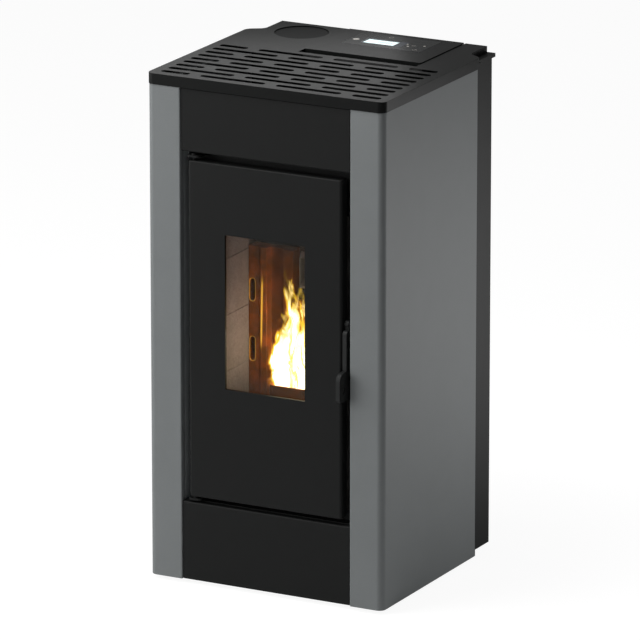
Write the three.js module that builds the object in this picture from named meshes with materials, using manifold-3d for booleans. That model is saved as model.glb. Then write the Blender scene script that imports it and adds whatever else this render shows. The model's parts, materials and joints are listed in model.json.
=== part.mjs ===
// Free-standing pellet stove: painted sheet casing, slotted top cover, hopper with a lifting lid,
// glazed fire door, firebox with burn pot, pellet auger, smoke extractor and room-air blower.
// Millimetres, +Z up. The stove faces -Y. The origin is on the floor, under the middle of its box.

import * as THREE from 'three';
import { mergeVertices } from 'three/addons/utils/BufferGeometryUtils.js';
import Module from 'manifold-3d';

const wasm = await Module();
wasm.setup();

// ---------------------------------------------------------------------------------------------
// Driving dimensions. Depths are measured from the front face of the casing, heights from the floor.

const FIT = 0.3; // gap left between pieces that seat on each other

// Casing
const OVERALL_HEIGHT = 950;
const CASING_LIFT = 8;
const CASING_WIDTH = 478;
const SIDE_DEPTH = 370;
const CORNER_RADIUS = 13;
const SHEET = 1.5;
const FRONT_FLANGE_WIDTH = 67;
const FRONT_RETURN_DEPTH = 14;
const REAR_RETURN_WIDTH = 13;
const CARRYING_FLANGE = 22;
const REAR_BOX_STEP = 17;
const REAR_BOX_WIDTH = CASING_WIDTH - 2 * REAR_BOX_STEP;
const VENT_ROWS = 6;
const VENT_PITCH = 16;
const VENT_HEIGHT = 6;
const REAR_RIM_HEIGHT = 7;
const REAR_RIM_REACH = 4;

// Top cover
const COVER_OVERHANG = 1;
const COVER_DEPTH = 462;
const COVER_PLATE = 3;
const COVER_SKIRT_HEIGHT = 20;
const COVER_SKIRT_WALL = 2;
const NOTCH_WIDTH = 29;
const NOTCH_OVERLAP = 7;
const NOTCH_RUN = 18;
const NOTCH_START = SIDE_DEPTH + NOTCH_OVERLAP;
const NOTCH_END = NOTCH_START + NOTCH_RUN;
const NOTCH_RADIUS = 9;
const GRILLE_MARGIN = 17.5;
const GRILLE_SPAN = CASING_WIDTH - 2 * GRILLE_MARGIN;
const GRILLE_ROWS = 9;
const GRILLE_FIRST_ROW = 23.6;
const GRILLE_PITCH = 27.4;
const GRILLE_SLOT_WIDTH = 12.5;
const GRILLE_SLOT_GAP = 23;
const GRILLE_SHORT_SLOT = 57;
const FLUE_FROM_LEFT = 102;
const FLUE_FROM_REAR = 63;
const FLUE_COVER_X = FLUE_FROM_LEFT - CASING_WIDTH / 2;
const FLUE_COVER_Y = COVER_DEPTH - FLUE_FROM_REAR;
const FLUE_COVER_RADIUS = 50;
const FLUE_COVER_THICKNESS = 2;
const FLUE_COVER_SINK = 1.8;
const FLUE_LEDGE_WIDTH = 4;

// Hopper lid and its controls
const LID_FROM_FLUE = 66;
const LID_FROM_RIGHT = 73;
const LID_FROM_REAR = 6.5;
const LID_DEPTH = 169.5;
const LID_LEFT = FLUE_COVER_X + LID_FROM_FLUE;
const LID_RIGHT = CASING_WIDTH / 2 - LID_FROM_RIGHT;
const LID_REAR = COVER_DEPTH - LID_FROM_REAR;
const LID_FRONT = LID_REAR - LID_DEPTH;
const LID_PROUD = 1.5;
const LID_PLATE = 2;
const LID_SKIRT_DEPTH = 12;
const LID_SIDE_GAP = 1.5;
const FINGER_GAP = 22;
const LID_PIN_RADIUS = 1.5;
const LID_KNUCKLE_RADIUS = 3;
const LID_KNUCKLE_LENGTH = 25;
const FASCIA_LEFT_MARGIN = 37;
const FASCIA_RIGHT_MARGIN = 38;
const FASCIA_FRONT_MARGIN = 69;
const FASCIA_REAR_MARGIN = 10.5;
const FASCIA_LEFT = LID_LEFT + FASCIA_LEFT_MARGIN;
const FASCIA_RIGHT = LID_RIGHT - FASCIA_RIGHT_MARGIN;
const FASCIA_FRONT = LID_FRONT + FASCIA_FRONT_MARGIN;
const FASCIA_REAR = LID_REAR - FASCIA_REAR_MARGIN;
const FASCIA_THICKNESS = 1.4;
const FASCIA_CORNER = 4;
const LCD_WIDTH = 62;
const LCD_DEPTH = 28;
const LCD_LEFT_MARGIN = 34;
const LCD_FRONT_MARGIN = 22;
const LCD_LEFT = FASCIA_LEFT + LCD_LEFT_MARGIN;
const LCD_RIGHT = LCD_LEFT + LCD_WIDTH;
const LCD_FRONT = FASCIA_FRONT + LCD_FRONT_MARGIN;
const LCD_REAR = LCD_FRONT + LCD_DEPTH;
const DISPLAY_BOX_DEPTH = 20;
const DISPLAY_BOX_INSET = 6;
const BOARD_DEPTH = 6.4;
const BOARD_THICKNESS = 1.6;

// Front panels and door
const PANEL_RECESS = 2;
const PANEL_SIDE_GAP = 1.5;
const LOWER_PANEL_TOP = 156.7;
const UPPER_PANEL_DROP = 137.3;
const UPPER_PANEL_BOTTOM = OVERALL_HEIGHT - UPPER_PANEL_DROP;
const PANEL_RETURN_DEPTH = 28;
const FRAME_PLATE_FRONT = 33.3;
const FRAME_PLATE = 2;
const DOOR_SIDE_MARGIN = 83.5;
const DOOR_BOTTOM_GAP = 11.8;
const DOOR_TOP_GAP = 15.2;
const DOOR_WIDTH = CASING_WIDTH - 2 * DOOR_SIDE_MARGIN;
const DOOR_BOTTOM = LOWER_PANEL_TOP + DOOR_BOTTOM_GAP;
const DOOR_TOP = UPPER_PANEL_BOTTOM - DOOR_TOP_GAP;
const DOOR_SKIN_DEPTH = 20;
const DOOR_EDGE_RADIUS = 4;
const WINDOW_SIDE_MARGIN = 74.5;
const WINDOW_TOP_MARGIN = 129.7;
const WINDOW_WIDTH = DOOR_WIDTH - 2 * WINDOW_SIDE_MARGIN;
const WINDOW_BOTTOM = 379.6;
const WINDOW_TOP = DOOR_TOP - WINDOW_TOP_MARGIN;
const WINDOW_CORNER = 2;
const WINDOW_RETURN = 5.7;
const GLASS_OVERLAP = 20;
const GLASS_THICKNESS = 4;
const GLASS_SEAL_THICKNESS = 1;
const GLASS_SEAL_WIDTH = 16;
const DOOR_FRAME_PLATE = 3;
const DOOR_FRAME_INSET = 2;
const TUNNEL_WALL = 2;
const GASKET_WIDTH = 7;
const HINGE_INSET = 8.5;
const HINGE_X = HINGE_INSET - DOOR_WIDTH / 2;
const HINGE_Y = 9;
const HINGE_PIN_RADIUS = 3;
const HINGE_PLATE = 4;
const HINGE_PLATE_WIDTH = 26;

// Door handle
const HANDLE_GAP = 1.8;
const HANDLE_LEFT = DOOR_WIDTH / 2 + HANDLE_GAP;
const HANDLE_THICKNESS = 8;
const HANDLE_HEAD_RADIUS = 12;
const HANDLE_BOTTOM = 393;
const HANDLE_BAR_DEPTH = 12;
const HANDLE_REACH = 26;
const HANDLE_TAB_TOP = 449;
const HANDLE_PIVOT_Y = 14;
const HANDLE_PIVOT_Z = 532;
const HANDLE_PIN_RADIUS = 3;
const KEEPER_PIN_RADIUS = 3.5;
const KEEPER_Y = 25;
const KEEPER_Z = 500;

// Firebox
const FIREBOX_WALL = 3;
const FIREBOX_SIDE_MARGIN = 13.5;
const FIREBOX_DROP = 85.5;
const FIREBOX_WIDTH = DOOR_WIDTH - 2 * FIREBOX_SIDE_MARGIN;
const FIREBOX_FRONT = 33.3;
const FIREBOX_REAR = 206;
const FIREBOX_BOTTOM = 190;
const FIREBOX_TOP = DOOR_TOP - FIREBOX_DROP;
const MOUTH_MARGIN = 17;
const MOUTH_TOP_MARGIN = 22;
const MOUTH_WIDTH = FIREBOX_WIDTH - 2 * MOUTH_MARGIN;
const MOUTH_BOTTOM = FIREBOX_BOTTOM + FIREBOX_WALL;
const MOUTH_TOP = FIREBOX_TOP - MOUTH_TOP_MARGIN;
const FIREBOX_LIP = 12;
const SIDE_LINER_DEPTH = 14;
const BACK_LINER_DEPTH = 31;
const CHAMBER_HALF_WIDTH = FIREBOX_WIDTH / 2 - SIDE_LINER_DEPTH;
const CHAMBER_REAR = FIREBOX_REAR - BACK_LINER_DEPTH;
const LINER_BOTTOM = 318;
const BACK_LINER_DROP = 110;
const BACK_LINER_TOP = FIREBOX_TOP - BACK_LINER_DROP;
const SIDE_LINER_FRONT = 60;
const SIDE_LINER_TOP = MOUTH_TOP;
const LINER_PLATE = 6;
const LINER_JOINTS = [66, 172, 278];
const LINER_SLOTS = [[66, 112], [179, 222]];
const LINER_JOINT_WIDTH = 2;
const LINER_JOINT_DEPTH = 1.5;
const BAFFLE_THICKNESS = 6;
const BAFFLE_FRONT = 88;
const BAFFLE_DROP = 44;
const BAFFLE_FALL = 42;
const BAFFLE_FRONT_Z = FIREBOX_TOP - BAFFLE_DROP;
const BAFFLE_REAR_Z = BAFFLE_FRONT_Z - BAFFLE_FALL;

// Burn pot, ash pan, igniter
const POT_HALF_WIDTH = 42;
const POT_FRONT = 86;
const POT_REAR = 162;
const POT_TOP = 372;
const POT_BOTTOM = 284;
const POT_WALL = 4;
const POT_CORNER = 14;
const POT_RIM_REACH = 9;
const POT_RIM_HEIGHT = 4;
const HOLDER_MARGIN = 16;
const HOLDER_HALF_WIDTH = POT_HALF_WIDTH + HOLDER_MARGIN;
const HOLDER_FRONT = 74;
const HOLDER_BOTTOM = 258;
const HOLDER_TOP = 318;
const HOLDER_WALL = 3;
const PAN_GAP = 10;
const PAN_HALF_WIDTH = CHAMBER_HALF_WIDTH - PAN_GAP;
const PAN_FRONT = 46;
const PAN_REAR = FIREBOX_REAR - PAN_GAP;
const PAN_HEIGHT = 50;
const PAN_WALL = 1.5;
const IGNITER_X = -24;
const IGNITER_Z = 298;
const IGNITER_RADIUS = 6;

// Air, smoke and heat
const INTAKE_X = 26;
const INTAKE_Z = 290;
const INTAKE_RADIUS = 25;
const INTAKE_REACH = 28;
const FLUE_RADIUS = 40;
const FLUE_Z = 196;
const FLUE_REACH = 45;
const PIPE_WALL = 1.5;
const DUCT_WIDTH = 80;
const DUCT_FROM_FLUE = 51;
const DUCT_DROP = 12;
const DUCT_LEFT = FLUE_COVER_X - DUCT_FROM_FLUE;
const DUCT_RIGHT = DUCT_LEFT + DUCT_WIDTH;
const DUCT_BOTTOM = 70;
const DUCT_TOP = FIREBOX_TOP - DUCT_DROP;
const DUCT_DEPTH = 55;
const EXTRACTOR_OFFSET = 13;
const EXTRACTOR_X = FLUE_COVER_X - EXTRACTOR_OFFSET;
const EXTRACTOR_Z = 110;
const EXTRACTOR_RADIUS = 66;
const EXTRACTOR_DEPTH = 60;
const EXTRACTOR_EYE = 30;
const EXTRACTOR_MOTOR_RADIUS = 36;
const EXTRACTOR_MOTOR_LENGTH = 60;
const IMPELLER_RADIUS = 54;
const IMPELLER_BLADES = 8;
const EXCHANGER_HEIGHT = 84;
const EXCHANGER_FINS = 11;
const BLOWER_FROM_FIREBOX = 99;
const BLOWER_FROM_EXTRACTOR = 80;
const BLOWER_WIDTH = 180;
const BLOWER_Y = FIREBOX_REAR + BLOWER_FROM_FIREBOX;
const BLOWER_Z = 104;
const BLOWER_LEFT = EXTRACTOR_X + BLOWER_FROM_EXTRACTOR;
const BLOWER_RIGHT = BLOWER_LEFT + BLOWER_WIDTH;
const ROTOR_RADIUS = 30;
const ROTOR_BLADES = 16;
const BLOWER_MOTOR_LENGTH = 44;

// Hopper and auger
const HOPPER_WALL = 1.5;
const HOPPER_DROP = 17.5;
const HOPPER_STRAIGHT = 192.5;
const HOPPER_FUNNEL = 140;
const HOPPER_NECK_LENGTH = 15;
const HOPPER_FLANGE_Z = OVERALL_HEIGHT - HOPPER_DROP;
const HOPPER_FLANGE = 6;
const HOPPER_INSET = 5;
const HOPPER_BEND_Z = HOPPER_FLANGE_Z - HOPPER_STRAIGHT;
const HOPPER_NECK_TOP = HOPPER_BEND_Z - HOPPER_FUNNEL;
const HOPPER_NECK_BOTTOM = HOPPER_NECK_TOP - HOPPER_NECK_LENGTH;
const HOPPER_NECK_HALF_WIDTH = 28;
const HOPPER_NECK_FROM_REAR = 50;
const HOPPER_NECK_REAR = COVER_DEPTH - HOPPER_NECK_FROM_REAR;
const HOPPER_NECK_FRONT = HOPPER_NECK_REAR - 2 * HOPPER_NECK_HALF_WIDTH;
const HOPPER_GASKET_HEIGHT = 4.9;
const GRID_DROP = 42.5;
const GRID_Z = HOPPER_FLANGE_Z - GRID_DROP;
const GRID_COLUMNS = 8;
const GRID_BAR = 3;
const AUGER_FROM_NECK = 27;
const AUGER_BELOW_NECK = 115;
const AUGER_TRAVEL = 100;
const AUGER_LIFT = 150;
const AUGER_LOW_Y = HOPPER_NECK_REAR - AUGER_FROM_NECK;
const AUGER_LOW_Z = HOPPER_NECK_BOTTOM - AUGER_BELOW_NECK;
const AUGER_HIGH_Y = AUGER_LOW_Y - AUGER_TRAVEL;
const AUGER_HIGH_Z = AUGER_LOW_Z + AUGER_LIFT;
const AUGER_TUBE_RADIUS = 28;
const AUGER_TUBE_WALL = 2.5;
const AUGER_FLIGHT_RADIUS = 24;
const AUGER_SHAFT_RADIUS = 7;
const AUGER_PITCH = 34;
const AUGER_FLIGHT_THICKNESS = 2.5;
const AUGER_MOTOR_LENGTH = 52;
const AUGER_MOTOR_WIDTH = 54;

// Base, feet and electrics
const BASE_PLATE = 3;
const FOOT_SIDE_MARGIN = 43;
const FOOT_REAR_MARGIN = 57;
const FOOT_X = CASING_WIDTH / 2 - FOOT_SIDE_MARGIN;
const FOOT_FRONT = 52;
const FOOT_REAR = COVER_DEPTH - FOOT_REAR_MARGIN;
const FOOT_PAD_RADIUS = 19;
const FOOT_STEM_RADIUS = 5;
const FOOT_STEM_TOP = 44;
const INLET_FROM_RIGHT = 89;
const INLET_X = CASING_WIDTH / 2 - INLET_FROM_RIGHT;
const INLET_Z = 92;
const BOARD_TRAY_WIDTH = 70;
const BOARD_TRAY_BOTTOM = 250;
const BOARD_TRAY_HEIGHT = 160;
const BOARD_STANDOFF = 11;
const THERMOSTAT_X = INLET_X;
const THERMOSTAT_RISE = 58;
const THERMOSTAT_Z = INLET_Z + THERMOSTAT_RISE;

// ---------------------------------------------------------------------------------------------
// Values that follow from the driving dimensions

const CASING_HALF = CASING_WIDTH / 2;
const REAR_HALF = REAR_BOX_WIDTH / 2;
const COVER_HALF = CASING_HALF + COVER_OVERHANG;
const COVER_FRONT = -COVER_OVERHANG;
const COVER_UNDERSIDE = OVERALL_HEIGHT - COVER_PLATE;
const SKIRT_BOTTOM = OVERALL_HEIGHT - COVER_SKIRT_HEIGHT;
const CASING_TOP = SKIRT_BOTTOM - FIT;
const FLANGE_EDGE = CASING_HALF - FRONT_FLANGE_WIDTH;
const BASE_BOTTOM = CASING_LIFT + SHEET + FIT;
const BASE_TOP = BASE_BOTTOM + BASE_PLATE;
const RIM_TOP = SKIRT_BOTTOM + 8;
const RIM_BOTTOM = RIM_TOP - REAR_RIM_HEIGHT;
const LID_TOP = OVERALL_HEIGHT + LID_PROUD;
const LID_UNDERSIDE = LID_TOP - LID_PLATE;
const LID_PIN_Y = COVER_DEPTH - LID_KNUCKLE_RADIUS;
const LID_PIN_Z = LID_TOP - LID_KNUCKLE_RADIUS;
const DOOR_HALF = DOOR_WIDTH / 2;
const WINDOW_HALF = WINDOW_WIDTH / 2;
const SEAL_FRONT = WINDOW_RETURN + FIT;
const GLASS_FRONT = SEAL_FRONT + GLASS_SEAL_THICKNESS + FIT;
const GLASS_REAR = GLASS_FRONT + GLASS_THICKNESS;
const GLASS_HALF = WINDOW_HALF + GLASS_OVERLAP;
const GLASS_BOTTOM = WINDOW_BOTTOM - GLASS_OVERLAP;
const GLASS_TOP = WINDOW_TOP + GLASS_OVERLAP;
const DOOR_FRAME_FRONT = DOOR_SKIN_DEPTH + FIT;
const DOOR_FRAME_REAR = DOOR_FRAME_FRONT + DOOR_FRAME_PLATE;
const FIREBOX_HALF = FIREBOX_WIDTH / 2;
const FIREBOX_INNER = FIREBOX_HALF - FIREBOX_WALL;
const FIREBOX_INNER_REAR = FIREBOX_REAR - FIREBOX_WALL;
const FIREBOX_FACE = FIREBOX_FRONT - FIREBOX_WALL - FIT;
const REAR_OF_FIREBOX = FIREBOX_REAR + FIT;
const DUCT_REAR = REAR_OF_FIREBOX + DUCT_DEPTH;
const EXTRACTOR_FRONT = DUCT_REAR + FIT;
const EXTRACTOR_REAR = EXTRACTOR_FRONT + EXTRACTOR_DEPTH;
const REAR_INNER = COVER_DEPTH - SHEET;
const FLUE_END = COVER_DEPTH + FLUE_REACH;
const FRONT_MOST = -HANDLE_REACH;
const MIDDLE_OF_DEPTH = (FRONT_MOST + FLUE_END) / 2;
const AUGER_RUN = Math.hypot(AUGER_HIGH_Y - AUGER_LOW_Y, AUGER_HIGH_Z - AUGER_LOW_Z);
const AUGER_TILT = Math.atan2(AUGER_LOW_Y - AUGER_HIGH_Y, AUGER_HIGH_Z - AUGER_LOW_Z);

const stove = new THREE.Group();
stove.name = 'pellet_stove';
stove.position.y = -MIDDLE_OF_DEPTH;

function section(name) {
  const group = new THREE.Group();
  group.name = name;
  stove.add(group);
  return group;
}

const casing = section('casing_group');
const hopperLid = section('hopper_lid_group');
const pelletFeed = section('pellet_feed_group');
const firebox = section('firebox_group');
const airAndSmoke = section('air_and_smoke_group');
const doorway = section('door_group');
const electrics = section('electrics_group');

// ---------------------------------------------------------------------------------------------
// Finishes

function finish(color, roughness, metalness) {
  return { color, roughness, metalness };
}

const GREY_PAINT = finish(0x767a7a, 0.55, 0.1);
const BLACK_PAINT = finish(0x2a2a2a, 0.6, 0.1);
const COVER_PAINT = finish(0x3c3e3e, 0.65, 0.15);
const HOT_STEEL = finish(0x33302e, 0.7, 0.5);
const ZINC_SHEET = finish(0x9aa0a3, 0.45, 0.8);
const CAST_IRON = finish(0x3a3533, 0.8, 0.5);
const FIRE_BOARD = finish(0x8a7a70, 0.9, 0);
const BRIGHT_STEEL = finish(0xb4b4b4, 0.3, 0.95);
const MOTOR_STEEL = finish(0x6b6e70, 0.4, 0.8);
const DARK_PLASTIC = finish(0x18191a, 0.45, 0);
const FIBRE_ROPE = finish(0x4b4a47, 0.95, 0);
const SEAL_RUBBER = finish(0x1d1d1d, 0.8, 0);
const CERAMIC_GLASS = finish(0x30261c, 0.05, 0);
const LCD_GLASS = finish(0xd6f2f2, 0.2, 0);

function place(group, name, geometry, look) {
  const mesh = new THREE.Mesh(geometry, new THREE.MeshStandardMaterial(look));
  mesh.name = name;
  group.add(mesh);
}

// ---------------------------------------------------------------------------------------------
// Solids: three.js geometry joined and cut

function solid(geometry) {
  const bare = geometry.clone();
  bare.deleteAttribute('normal');
  bare.deleteAttribute('uv');
  const merged = mergeVertices(bare, 1e-4);
  return new wasm.Manifold(new wasm.Mesh({
    numProp: 3,
    vertProperties: new Float32Array(merged.attributes.position.array),
    triVerts: new Uint32Array(merged.index.array),
  }));
}

function geometryOf(body) {
  const mesh = body.getMesh();
  const geometry = new THREE.BufferGeometry();
  geometry.setAttribute('position', new THREE.BufferAttribute(mesh.vertProperties, 3));
  geometry.setIndex(new THREE.BufferAttribute(mesh.triVerts, 1));
  geometry.computeVertexNormals();
  return geometry;
}

function join(...geometries) {
  const [first, ...rest] = geometries;
  return geometryOf(rest.reduce((body, next) => body.add(solid(next)), solid(first)));
}

function cut(geometry, ...tools) {
  return geometryOf(tools.reduce((body, tool) => body.subtract(solid(tool)), solid(geometry)));
}

// A block between two values along each axis.
function block(x0, x1, y0, y1, z0, z1) {
  const geometry = new THREE.BoxGeometry(x1 - x0, y1 - y0, z1 - z0);
  return geometry.translate((x0 + x1) / 2, (y0 + y1) / 2, (z0 + z1) / 2);
}

function extrude(points, depth) {
  const shape = new THREE.Shape(points);
  return new THREE.ExtrudeGeometry(shape, { depth, bevelEnabled: false, steps: 1 });
}

const AXIS_X = new THREE.Vector3(1, 0, 0);
const AXIS_Y = new THREE.Vector3(0, 1, 0);
const AXIS_Z = new THREE.Vector3(0, 0, 1);

// An outline drawn in plan, raised from z0 to z1.
function raised(points, z0, z1) {
  return extrude(points, z1 - z0).translate(0, 0, z0);
}

// An outline drawn from the right-hand side as (y, z), running from x0 to x1.
function sideways(points, x0, x1) {
  const turn = new THREE.Matrix4().makeBasis(AXIS_Y, AXIS_Z, AXIS_X);
  return extrude(points, x1 - x0).applyMatrix4(turn).translate(x0, 0, 0);
}

// An outline drawn from the front as (x, z), running from y0 back to y1.
function backwards(points, y0, y1) {
  const turn = new THREE.Matrix4().makeBasis(AXIS_X, AXIS_Z, AXIS_Y.clone().negate());
  return extrude(points, y1 - y0).applyMatrix4(turn).translate(0, y1, 0);
}

function uprightRod(x, y, radius, z0, z1, sides = 18) {
  const geometry = new THREE.CylinderGeometry(radius, radius, z1 - z0, sides);
  return geometry.rotateX(Math.PI / 2).translate(x, y, (z0 + z1) / 2);
}

function crossRod(y, z, radius, x0, x1, sides = 18) {
  const geometry = new THREE.CylinderGeometry(radius, radius, x1 - x0, sides);
  return geometry.rotateZ(Math.PI / 2).translate((x0 + x1) / 2, y, z);
}

function deepRod(x, z, radius, y0, y1, sides = 18) {
  const geometry = new THREE.CylinderGeometry(radius, radius, y1 - y0, sides);
  return geometry.translate(x, (y0 + y1) / 2, z);
}

// ---------------------------------------------------------------------------------------------
// Outlines

const SMALL_RADIUS = 8;
const SMALL_ARC_STEP = Math.PI / 4;
const LARGE_ARC_STEP = Math.PI / 10;

function corner(x, y, radius = 0) {
  return { x, y, radius };
}

// The points round one rounded corner, between its two neighbours.
function arcAt(before, here, after) {
  const point = new THREE.Vector2(here.x, here.y);
  const back = new THREE.Vector2(before.x, before.y).sub(point).normalize();
  const ahead = new THREE.Vector2(after.x, after.y).sub(point).normalize();
  const half = Math.acos(THREE.MathUtils.clamp(back.dot(ahead), -1, 1)) / 2;
  const centre = back.clone().add(ahead).normalize();
  centre.multiplyScalar(here.radius / Math.sin(half)).add(point);
  const start = back.clone().multiplyScalar(here.radius / Math.tan(half)).add(point).sub(centre);
  const end = ahead.clone().multiplyScalar(here.radius / Math.tan(half)).add(point).sub(centre);
  const from = start.angle();
  let sweep = end.angle() - from;
  if (sweep > Math.PI) sweep -= 2 * Math.PI;
  if (sweep < -Math.PI) sweep += 2 * Math.PI;
  const step = here.radius < SMALL_RADIUS ? SMALL_ARC_STEP : LARGE_ARC_STEP;
  const steps = Math.max(2, Math.ceil(Math.abs(sweep) / step - 1e-6));
  const points = [];
  for (let i = 0; i <= steps; i += 1) {
    const angle = from + (sweep * i) / steps;
    points.push(new THREE.Vector2(
      centre.x + here.radius * Math.cos(angle),
      centre.y + here.radius * Math.sin(angle),
    ));
  }
  return points;
}

function outline(corners, closed = true) {
  const last = corners.length - 1;
  return corners.flatMap((here, i) => {
    const isEnd = !closed && (i === 0 || i === last);
    if (here.radius === 0 || isEnd) return [new THREE.Vector2(here.x, here.y)];
    return arcAt(corners[i === 0 ? last : i - 1], here, corners[i === last ? 0 : i + 1]);
  });
}

function rectangle(x0, x1, y0, y1, radius = 0) {
  return outline([
    corner(x0, y0, radius), corner(x1, y0, radius), corner(x1, y1, radius), corner(x0, y1, radius),
  ]);
}

// A bent sheet seen on edge: the path is its outer face and the sheet lies to the left of it.
function bentSheet(path, thickness) {
  const leftOf = (a, b) => new THREE.Vector2(a.y - b.y, b.x - a.x).normalize();
  const inner = path.map((point, i) => {
    const before = i > 0 ? leftOf(path[i - 1], point) : leftOf(point, path[i + 1]);
    const after = i < path.length - 1 ? leftOf(point, path[i + 1]) : before;
    const mitre = before.clone().add(after).normalize();
    return point.clone().add(mitre.multiplyScalar(thickness / mitre.dot(before)));
  });
  return [...path, ...inner.reverse()];
}

function mirrored(points) {
  return points.map((point) => new THREE.Vector2(-point.x, point.y));
}

// A block that changes from one rectangle to another between two heights.
function tapered(low, high) {
  const ring = ({ x0, x1, y0, y1, z }) => [[x0, y0, z], [x1, y0, z], [x1, y1, z], [x0, y1, z]];
  const positions = [...ring(low), ...ring(high)].flat();
  const faces = [0, 2, 1, 0, 3, 2, 4, 5, 6, 4, 6, 7];
  for (let i = 0; i < 4; i += 1) {
    const next = (i + 1) % 4;
    faces.push(i, next, next + 4, i, next + 4, i + 4);
  }
  const geometry = new THREE.BufferGeometry();
  geometry.setAttribute('position', new THREE.Float32BufferAttribute(positions, 3));
  geometry.setIndex(faces);
  return geometry;
}

// ---------------------------------------------------------------------------------------------
// Casing

function baseOutline() {
  const wide = CASING_HALF - SHEET - FIT;
  const narrow = REAR_HALF - SHEET - FIT;
  const front = PANEL_RECESS + FRONT_RETURN_DEPTH + FIT;
  const step = SIDE_DEPTH - SHEET - FIT;
  const rear = REAR_INNER - FIT;
  return outline([
    corner(-wide, front), corner(wide, front), corner(wide, step), corner(narrow, step),
    corner(narrow, rear, 3), corner(-narrow, rear, 3), corner(-narrow, step), corner(-wide, step),
  ]);
}

function footPositions() {
  return [
    ['front_left_foot', -FOOT_X, FOOT_FRONT], ['front_right_foot', FOOT_X, FOOT_FRONT],
    ['rear_left_foot', -FOOT_X, FOOT_REAR], ['rear_right_foot', FOOT_X, FOOT_REAR],
  ];
}

function makeBasePlate() {
  const nutHeight = 8;
  const nutRadius = 9;
  const ventCount = 4;
  const ventPitch = 24;
  let plate = raised(baseOutline(), BASE_BOTTOM, BASE_TOP);
  footPositions().forEach(([, x, y]) => {
    plate = join(plate, uprightRod(x, y, nutRadius, BASE_BOTTOM + 1, BASE_TOP + nutHeight, 6));
    const bore = uprightRod(x, y, FOOT_STEM_RADIUS + FIT, 0, BASE_TOP + nutHeight + 1, 16);
    plate = cut(plate, bore);
  });
  for (let i = 0; i < ventCount; i += 1) {
    const y = FIREBOX_REAR - 110 + i * ventPitch;
    plate = cut(plate, block(-90, 90, y, y + ventPitch / 2, 0, BASE_TOP + 1));
  }
  place(casing, 'base_plate', plate, ZINC_SHEET);
}

function makeFeet() {
  const profile = [
    [0, 0], [FOOT_PAD_RADIUS - 2, 0], [FOOT_PAD_RADIUS, 2], [FOOT_PAD_RADIUS, 4],
    [FOOT_STEM_RADIUS + 2, 6.5], [FOOT_STEM_RADIUS, 6.5], [FOOT_STEM_RADIUS, FOOT_STEM_TOP], [0, FOOT_STEM_TOP],
  ].map(([radius, z]) => new THREE.Vector2(radius, z));
  footPositions().forEach(([name, x, y]) => {
    const foot = new THREE.LatheGeometry(profile, 16).rotateX(Math.PI / 2);
    place(casing, name, foot.translate(x, y, 0), DARK_PLASTIC);
  });
}

function makeSidePanel(name, flip) {
  const path = outline([
    corner(FLANGE_EDGE, FRONT_RETURN_DEPTH), corner(FLANGE_EDGE, 0),
    corner(CASING_HALF, 0, CORNER_RADIUS), corner(CASING_HALF, SIDE_DEPTH),
    corner(CASING_HALF - REAR_RETURN_WIDTH, SIDE_DEPTH),
  ], false);
  const section = bentSheet(path, SHEET);
  const carry = rectangle(
    CASING_HALF - CARRYING_FLANGE, CASING_HALF - SHEET / 2, CORNER_RADIUS, SIDE_DEPTH - SHEET / 2,
  );
  const side = (points) => (flip ? mirrored(points) : points);
  const panel = join(
    raised(side(section), CASING_LIFT, CASING_TOP),
    raised(side(carry), CASING_TOP - SHEET, CASING_TOP),
    raised(side(carry), CASING_LIFT, CASING_LIFT + SHEET),
  );
  place(casing, name, panel, GREY_PAINT);
}

// The vents over the blower: rows of rounded slots.
function rearVents() {
  const vents = [];
  for (let row = 0; row < VENT_ROWS; row += 1) {
    const z = BLOWER_Z - 42 + row * VENT_PITCH;
    vents.push(backwards(
      rectangle(BLOWER_LEFT + 10, BLOWER_RIGHT - 70, z, z + VENT_HEIGHT, VENT_HEIGHT / 2 - 0.1),
      REAR_INNER - 1, COVER_DEPTH + 1,
    ));
  }
  return vents;
}

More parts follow.
